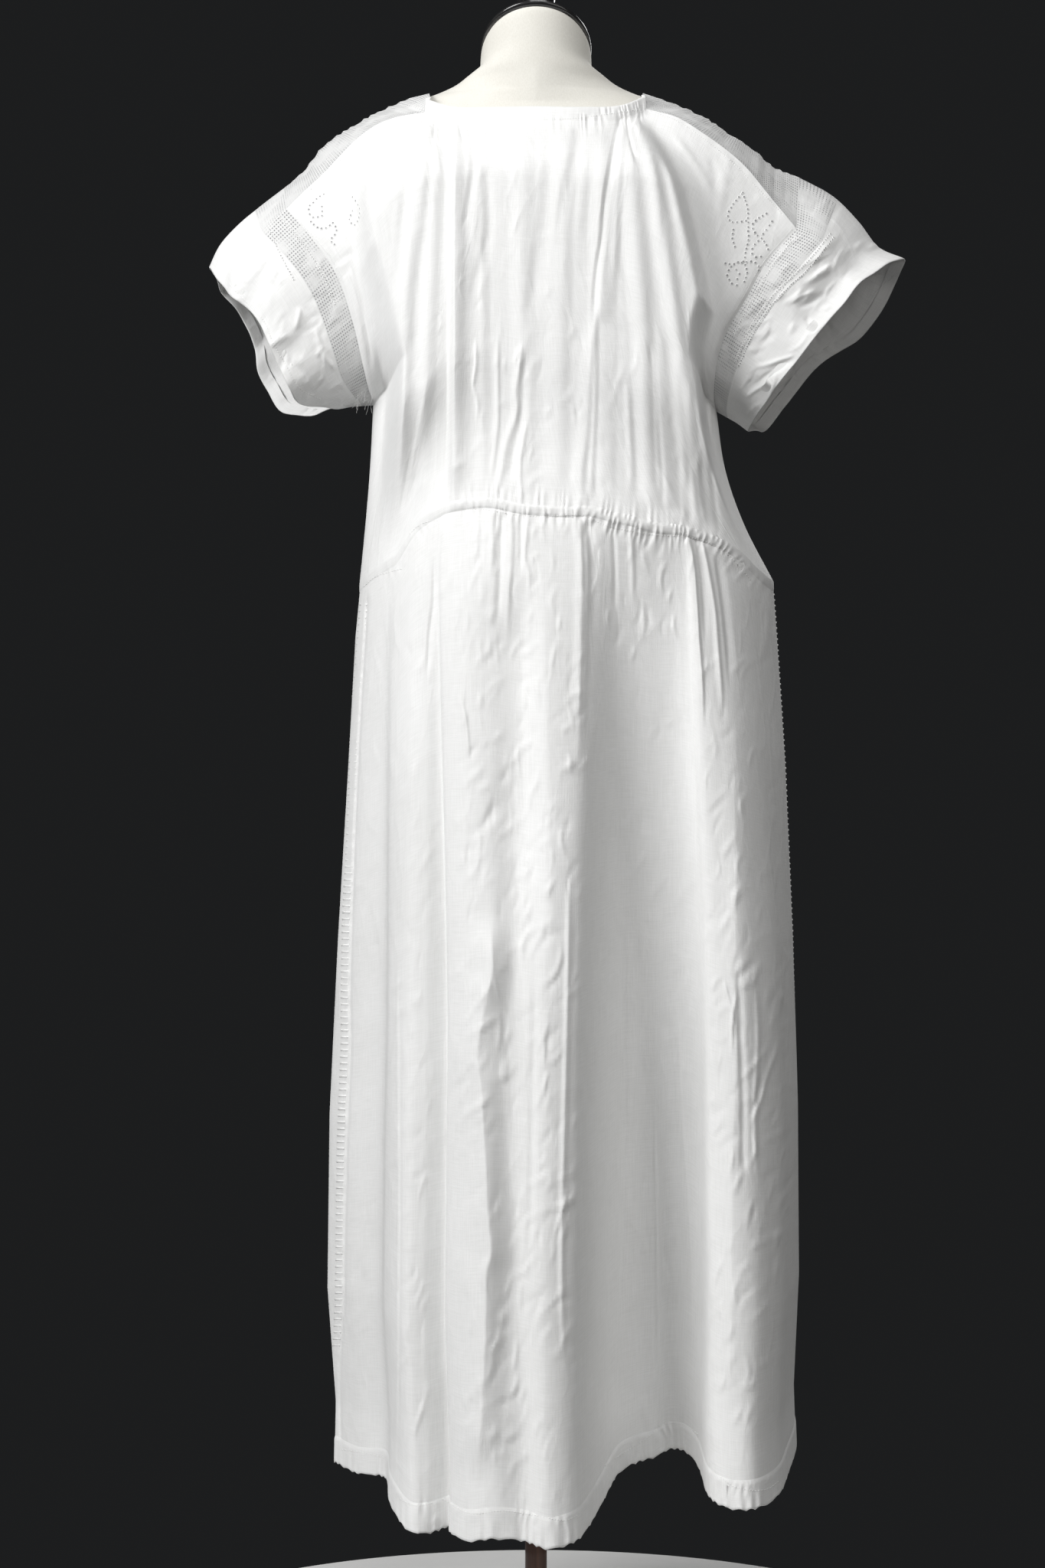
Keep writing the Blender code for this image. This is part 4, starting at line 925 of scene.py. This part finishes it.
def pixel_path(pixels, pitch):
    p = np.asarray(pixels, float)
    length = np.linalg.norm(np.diff(curve(p, np.linspace(0, 1, 80)), axis=0), axis=1).sum()
    return curve(p, np.linspace(0, 1, max(2, int(length / pitch) + 1)))


def stitches(tree, thread):
    heap = Heap()
    for pitch, length, pixels in STITCHES:
        path = pixel_path(pixels, pitch)
        for p, q in zip(path[:-1], path[1:]):
            way = (q - p) / max(np.linalg.norm(q - p), 1e-9) * length
            a, b = on_cloth(tree, p), on_cloth(tree, p + way)
            if a and b and (a[0] - b[0]).length < 5 * MM:
                stitch(heap, a[0], b[0], a[1], 0.3 * MM, 0.35 * MM)
    heap.mesh("sewn_stitches", thread, "white_linen")


def side_seams(tree, thread, back_skirt):
    """Small ridges across the left side's felled seam, and beads 3 mm apart down the right side's."""
    heap = Heap()
    for p in pixel_path(RUNG_SEAM, RUNG_PITCH):
        a, b = on_cloth(tree, p - (RUNG_HALF, 0)), on_cloth(tree, p + (RUNG_HALF, 0))
        if a and b and (a[0] - b[0]).length < 30 * MM:
            stitch(heap, a[0], b[0], (a[1] + b[1]).normalized(), 0.9 * MM, 0.8 * MM)
    seam = np.array([v.co for v in back_skirt.data.vertices]).reshape(SKIRT_ROWS + 1, -1, 3)[:, -1]
    edge = curve(seam[::10], np.linspace(0, 1, 292))
    for a, b in zip(edge[:-1:2], edge[1::2]):
        stitch(heap, Vector(a), Vector(b), Vector((1, 0, 0)), 0.9 * MM, 1.0 * MM)
    heap.mesh("seam_puckers", thread, "white_linen")


def holes(tree, dark, thread):
    """Small round holes, as discs of painted shade in a raised thread rim."""
    random = np.random.RandomState(HOLE_SEED)
    spots = [(tuple(p + random.uniform(-0.5, 0.5, 2)), size * random.uniform(0.8, 1.15))
             for pitch, size, pixels in HOLE_LINES for p in pixel_path(pixels, pitch)]
    discs, rims = Heap(), Heap()
    for spot, size in spots:
        found = on_cloth(tree, spot)
        if not found:
            continue
        place, normal = found
        u = normal.orthogonal().normalized()
        v = normal.cross(u)
        turn = [(np.cos(t), np.sin(t)) for t in np.linspace(0, 2 * np.pi, 10, endpoint=False)]
        out = [place + normal * 0.25 * MM + (u * c + v * s) * size * MM for c, s in turn]
        discs.add(out, (tuple(range(10)),))
        rings = []
        for wider, up in ((-0.1, 0.15), (0.12, 0.4), (0.4, 0.35), (0.7, -0.1)):
            rings += [place + normal * up * MM + (u * c + v * s) * (size + wider) * MM for c, s in turn]
        faces = [(r * 10 + i, r * 10 + (i + 1) % 10, (r + 1) * 10 + (i + 1) % 10, (r + 1) * 10 + i)
                 for r in range(3) for i in range(10)]
        rims.add(rings, [f[::-1] for f in faces])
    discs.mesh("cutwork_hole_shade", dark, "white_linen")
    rims.mesh("cutwork_rims", thread, "white_linen")


def threads(tree, thread):
    """Loose ends at the worn left underarm."""
    random = np.random.RandomState(THREAD_SEED)
    heap = Heap()
    for _ in range(26):
        start = on_cloth(tree, (random.uniform(466, 490), random.uniform(508, 530)))
        if not start:
            continue
        way = Vector((random.uniform(-1, 0.3), -0.15, random.uniform(-1.2, 0.2))).normalized()
        path = [start[0] + start[1] * 0.4 * MM]
        for _ in range(5):
            way = (way + Vector(random.uniform(-0.35, 0.35, 3)) + Vector((0, 0, -0.15))).normalized()
            path.append(path[-1] + way * random.uniform(1.0, 2.4) * MM)
        for a, b in zip(path[:-1], path[1:]):
            stitch(heap, a, b, Vector((0, -1, 0)), 0.12 * MM, 0.2 * MM)
    heap.mesh("underarm_threads", thread, "white_linen")


# The form and its stand, turned finer than the solids.

def ring_points(half_width, back, front, exponent, z, count):
    angles = np.linspace(0, 2 * np.pi, count, endpoint=False)
    c, s = np.cos(angles), np.sin(angles)
    x = half_width * np.sign(c) * np.abs(c) ** (2 / exponent)
    depth = np.where(s < 0, -back, front)
    return np.stack([x, depth * np.sign(s) * np.abs(s) ** (2 / exponent), np.full(count, z)], axis=1)


def sloped(ring):
    ring = ring.copy()
    ring[:, 2] -= NECK_SLOPE * ring[:, 1] * np.clip((ring[:, 2] - NECK_FOOT) / (NECK_TOP - NECK_FOOT), 0, 1)
    return ring


def turned_piece(name, rings, material, node):
    """Rings joined from bottom to top, with flat ends, in place of a CAD node."""
    count = len(rings[0])
    faces = [tuple(reversed(range(count))), tuple((len(rings) - 1) * count + i for i in range(count))]
    for r in range(len(rings) - 1):
        for c in range(count):
            n = (c + 1) % count
            faces.append((r * count + c, r * count + n, (r + 1) * count + n, (r + 1) * count + c))
    obj = new_object(name, np.vstack(rings).tolist(), faces)
    obj.data.set_sharp_from_angle(angle=0.7)
    obj.data.materials.append(material)
    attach(obj, "root")
    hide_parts(node)


def build_form(jersey, metal, wood):
    steps = np.linspace(0, len(TORSO) - 1, 6 * (len(TORSO) - 1) + 1)
    torso = [sloped(ring_points(w, b, f, e / MM, z, 160)) for z, w, b, f, e in through(TORSO, steps) * MM]
    turned_piece("torso_shell", torso, jersey, "form_torso")
    cap = []
    for up, size in through(CAP, np.linspace(0, len(CAP) - 1, 17)) * MM:
        cap.append(sloped(ring_points(size, -size * 0.98, size * 0.98, 2.0, NECK_TOP, 96)) + (0, 0, up))
    turned_piece("neck_cap_turned", cap, metal, "neck_cap")
    top = NECK_TOP + CAP[-1][0] * MM + 0.0003
    knob = []
    for up, size in through(KNOB, np.linspace(0, len(KNOB) - 1, 46)) * MM:
        ring = ring_points(size, -size, size, 2.0, 0, 64)
        ring[:, 2] = top + up - NECK_SLOPE * ring[:, 1] * max(0, 1 - up / KNOB_FOOT)
        knob.append(ring)
    turned_piece("neck_knob_turned", knob, metal, "neck_knob")
    for name, node, table in (("pole_turned", "stand_pole", POLE), ("base_turned", "stand_base", BASE)):
        rings = [ring_points(r, -r, r, 2.0, z, 96) for z, r in scaled(table)]
        turned_piece(name, rings, wood, node)


# Materials

class Nodes:
    """A new material with its shader, and short ways to add and join nodes."""

    def __init__(self, name, colour, roughness, **sockets):
        self.material = bpy.data.materials.new(name)
        self.material.use_nodes = True
        self.tree = self.material.node_tree
        self.shader = self.tree.nodes["Principled BSDF"]
        self.shader.inputs["Base Color"].default_value = (*colour, 1)
        self.shader.inputs["Roughness"].default_value = roughness
        for key, value in sockets.items():
            self.shader.inputs[key.replace("_", " ").title().replace("Ior", "IOR")].default_value = value

    def add(self, kind, links=(), **values):
        node = self.tree.nodes.new("ShaderNode" + kind)
        for key, value in values.items():
            if hasattr(node, key):
                setattr(node, key, value)
            else:
                node.inputs[key.replace("_", " ").title()].default_value = value
        for source, output, target in links:
            self.tree.links.new(source.outputs[output], node.inputs[target])
        return node

    def place(self, scale, uv=True):
        """Metres on the cloth, or in the object, times a scale in each direction."""
        if uv:
            source = self.add("UVMap", uv_map="cloth")
            return self.add("Mapping", [(source, "UV", "Vector")], scale=scale)
        source = self.add("TexCoord")
        return self.add("Mapping", [(source, "Object", "Vector")], scale=scale)

    def noise(self, place, detail=3.0, roughness=0.55):
        return self.add("TexNoise", [(place, "Vector", "Vector")], scale=1.0, detail=detail,
                        roughness=roughness)

    def wave(self, scale, way):
        return self.add("TexWave", [(self.place(scale), "Vector", "Vector")], scale=1.0, bands_direction=way)

    def joined(self, operation, first, first_output, second, second_output):
        return self.add("Math", [(first, first_output, 0), (second, second_output, 1)], operation=operation)

    def ranged(self, source, output, low, high, first, last):
        return self.add("MapRange", [(source, output, "Value")], from_min=low, from_max=high,
                        to_min=first, to_max=last)

    def base(self, output):
        self.tree.links.new(output, self.shader.inputs["Base Color"])

    def colour(self, factor, output, first, last):
        ramp = self.add("ValToRGB", [(factor, output, "Fac")])
        ramp.color_ramp.elements[0].color = (*first, 1)
        ramp.color_ramp.elements[1].color = (*last, 1)
        return ramp

    def bumps(self, rows):
        """A chain of bump nodes: source, output, depth in millimetres, strength."""
        last = None
        for source, output, depth, strength in rows:
            links = [(source, output, "Height")] + ([(last, "Normal", "Normal")] if last else [])
            last = self.add("Bump", links, distance=depth * MM, strength=strength)
        self.tree.links.new(last.outputs["Normal"], self.shader.inputs["Normal"])


def linen_material(name, net):
    n = Nodes(name, (0.86, 0.86, 0.85), 0.85, sheen_weight=0.12, sheen_roughness=0.5, specular_ior_level=0.2)
    warp = n.noise(n.place((1100, 34, 1)), 4.0)
    weft = n.noise(n.place((46, 1000, 1)), 4.0)
    blotch = n.noise(n.place((7, 5, 1)), 3.0)
    crumple = n.noise(n.place((95, 60, 1)), 4.0, 0.6)
    bent = n.noise(n.place((22, 14, 1)), 2.0)
    shift = n.add("VectorMath", [(bent, "Color", 0)], operation="SCALE")
    shift.inputs["Scale"].default_value = 1.3
    spots = n.place((26, 13, 1))
    web_place = n.add("VectorMath", [(spots, "Vector", 0), (shift, "Vector", 1)], operation="ADD")
    web = n.add("TexVoronoi", [(web_place, "Vector", "Vector")], scale=1.0, feature="DISTANCE_TO_EDGE")
    creased = n.ranged(web, "Distance", 0, 0.16, 1, 0)
    weave_u, weave_v = n.wave((450, 1, 1), "X"), n.wave((1, 450, 1), "Y")
    tone = n.joined("ADD", n.joined("ADD", warp, "Fac", weft, "Fac"), "Value", blotch, "Fac")
    # The net's colour is darker: painted shade, standing for the shade behind its threads.
    thin, thick = (0.80, 0.80, 0.79), (0.90, 0.90, 0.895)
    if net:
        thin, thick = (0.66, 0.66, 0.655), (0.78, 0.78, 0.775)
    colour = n.colour(n.ranged(tone, "Value", 1.15, 1.85, 0, 1), "Result", thin, thick)
    bumps = [(creased, "Result", 0.7, 0.30), (crumple, "Fac", 0.9, 0.35), (warp, "Fac", 0.35, 0.45),
             (weft, "Fac", 0.25, 0.35), (weave_u, "Fac", 0.12, 0.2), (weave_v, "Fac", 0.12, 0.2)]
    if net:
        both = n.joined("MULTIPLY", n.wave((96, 1, 1), "X"), "Fac", n.wave((1, 130, 1), "Y"), "Fac")
        open_ = n.ranged(both, "Value", 0.45, 0.8, 0, 1)
        patches = n.ranged(n.noise(n.place((40, 26, 1)), 2.0), "Fac", 0.40, 0.55, 0, 1)
        hole = n.joined("MULTIPLY", open_, "Result", patches, "Result")
        mix = n.add("Mix", [(hole, "Value", "Factor")], data_type="RGBA")
        n.tree.links.new(colour.outputs["Color"], mix.inputs[6])
        # The net's openings are coloured dark grey: painted shade, as the cloth is not cut through there.
        mix.inputs[7].default_value = (0.30, 0.30, 0.31, 1)
        n.base(mix.outputs[2])
        bumps.insert(0, (n.ranged(hole, "Value", 0, 1, 1, 0), "Result", 0.7, 0.8))
    else:
        n.base(colour.outputs["Color"])
    n.bumps(bumps)
    return n.material


def grained(name, base, roughness, grain, low, high, bump=None, figure=None, **sockets):
    """A material whose colour varies with one noise, or with the sum of two, and its finer noise."""
    n = Nodes(name, base, roughness, **sockets)
    fine = n.noise(n.place(grain[0], uv=False), *grain[1:])
    tone = fine, "Fac"
    if figure:
        coarse = n.noise(n.place(figure[0], uv=False), *figure[1:])
        tone = n.ranged(n.joined("ADD", fine, "Fac", coarse, "Fac"), "Value", 0.7, 1.3, 0, 1), "Result"
    n.base(n.colour(*tone, low, high).outputs["Color"])
    if bump:
        n.bumps([(fine, "Fac", *bump)])
    return n, fine


def plain_materials():
    """Thread, shade inside the holes, jersey, metal and wood."""
    thread, _ = grained("sewing thread", (0.88, 0.88, 0.87), 0.7, ((900, 900, 900),),
                        (0.82, 0.82, 0.81), (0.92, 0.92, 0.91), (0.1, 0.3), sheen_weight=0.1)
    # Painted shade: a dark grey for the discs that stand for the cutwork holes.
    dark, _ = grained("shade inside the holes", (0.32, 0.32, 0.325), 0.95, ((300, 300, 300),),
                      (0.26, 0.26, 0.265), (0.40, 0.40, 0.405), (0.1, 0.2))
    jersey, _ = grained("cream jersey", (0.74, 0.72, 0.66), 0.8, ((900, 900, 500), 2.0),
                        (0.70, 0.68, 0.62), (0.78, 0.765, 0.71), (0.15, 0.3), ((14, 14, 14), 3.0),
                        sheen_weight=0.15, specular_ior_level=0.25)
    metal, worn = grained("gloss black paint", (0.015, 0.015, 0.016), 0.2, ((60, 60, 60), 4.0),
                          (0.010, 0.010, 0.011), (0.028, 0.027, 0.026), (0.08, 0.15),
                          coat_weight=0.6, coat_roughness=0.08)
    gloss = metal.ranged(worn, "Fac", 0.3, 0.7, 0.14, 0.3)
    metal.tree.links.new(gloss.outputs["Result"], metal.shader.inputs["Roughness"])
    wood, _ = grained("dark stained wood", (0.07, 0.03, 0.02), 0.4, ((260, 260, 9), 5.0, 0.6),
                      (0.035, 0.014, 0.009), (0.13, 0.058, 0.034), (0.15, 0.35), ((30, 30, 4), 3.0),
                      coat_weight=0.25)
    return [n.material for n in (thread, dark, jersey, metal, wood)]


# Floor, light and camera

def floor():
    n, _ = grained("pale floor", (0.72, 0.72, 0.71), 0.85, ((40, 40, 40), 4.0),
                   (0.70, 0.70, 0.69), (0.75, 0.75, 0.74))
    bpy.ops.mesh.primitive_circle_add(vertices=128, radius=FLOOR_RADIUS, fill_type="NGON",
                                      location=(0, 0, FLOOR_HEIGHT))
    obj = bpy.context.object
    obj.name = "floor"
    obj.data.materials.append(n.material)


def studio():
    for name, place, aim, size, watts, colour in LAMPS:
        data = bpy.data.lights.new(name, "AREA")
        data.size, data.energy, data.color = size, watts, colour
        obj = bpy.data.objects.new(name, data)
        obj.location = place
        obj.rotation_euler = (Vector(aim) - Vector(place)).to_track_quat("-Z", "Y").to_euler()
        bpy.context.scene.collection.objects.link(obj)
    world = bpy.data.worlds.new("studio")
    bpy.context.scene.world = world
    world.use_nodes = True
    world.node_tree.nodes["Background"].inputs["Color"].default_value = BACKGROUND
    world.node_tree.nodes["Background"].inputs["Strength"].default_value = 1.0
    data = bpy.data.cameras.new("camera")
    data.lens, data.sensor_width = LENS, SENSOR
    camera = bpy.data.objects.new("camera", data)
    camera.location = EYE
    camera.rotation_euler = (np.pi / 2, 0, 0)
    bpy.context.scene.collection.objects.link(camera)
    bpy.context.scene.camera = camera
    bpy.context.scene.view_settings.view_transform = "Standard"


def main():
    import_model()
    studio()
    floor()
    linen, openwork = linen_material("white linen", False), linen_material("openwork linen", True)
    thread, dark, jersey, metal, wood = plain_materials()
    made = build_cloth(linen, openwork)
    build_form(jersey, metal, wood)
    tree = cloth_tree([made[name] for name in made if "front" not in name])
    stitches(tree, thread)
    side_seams(tree, thread, made["back_skirt"])
    holes(tree, dark, thread)
    threads(tree, thread)


main()
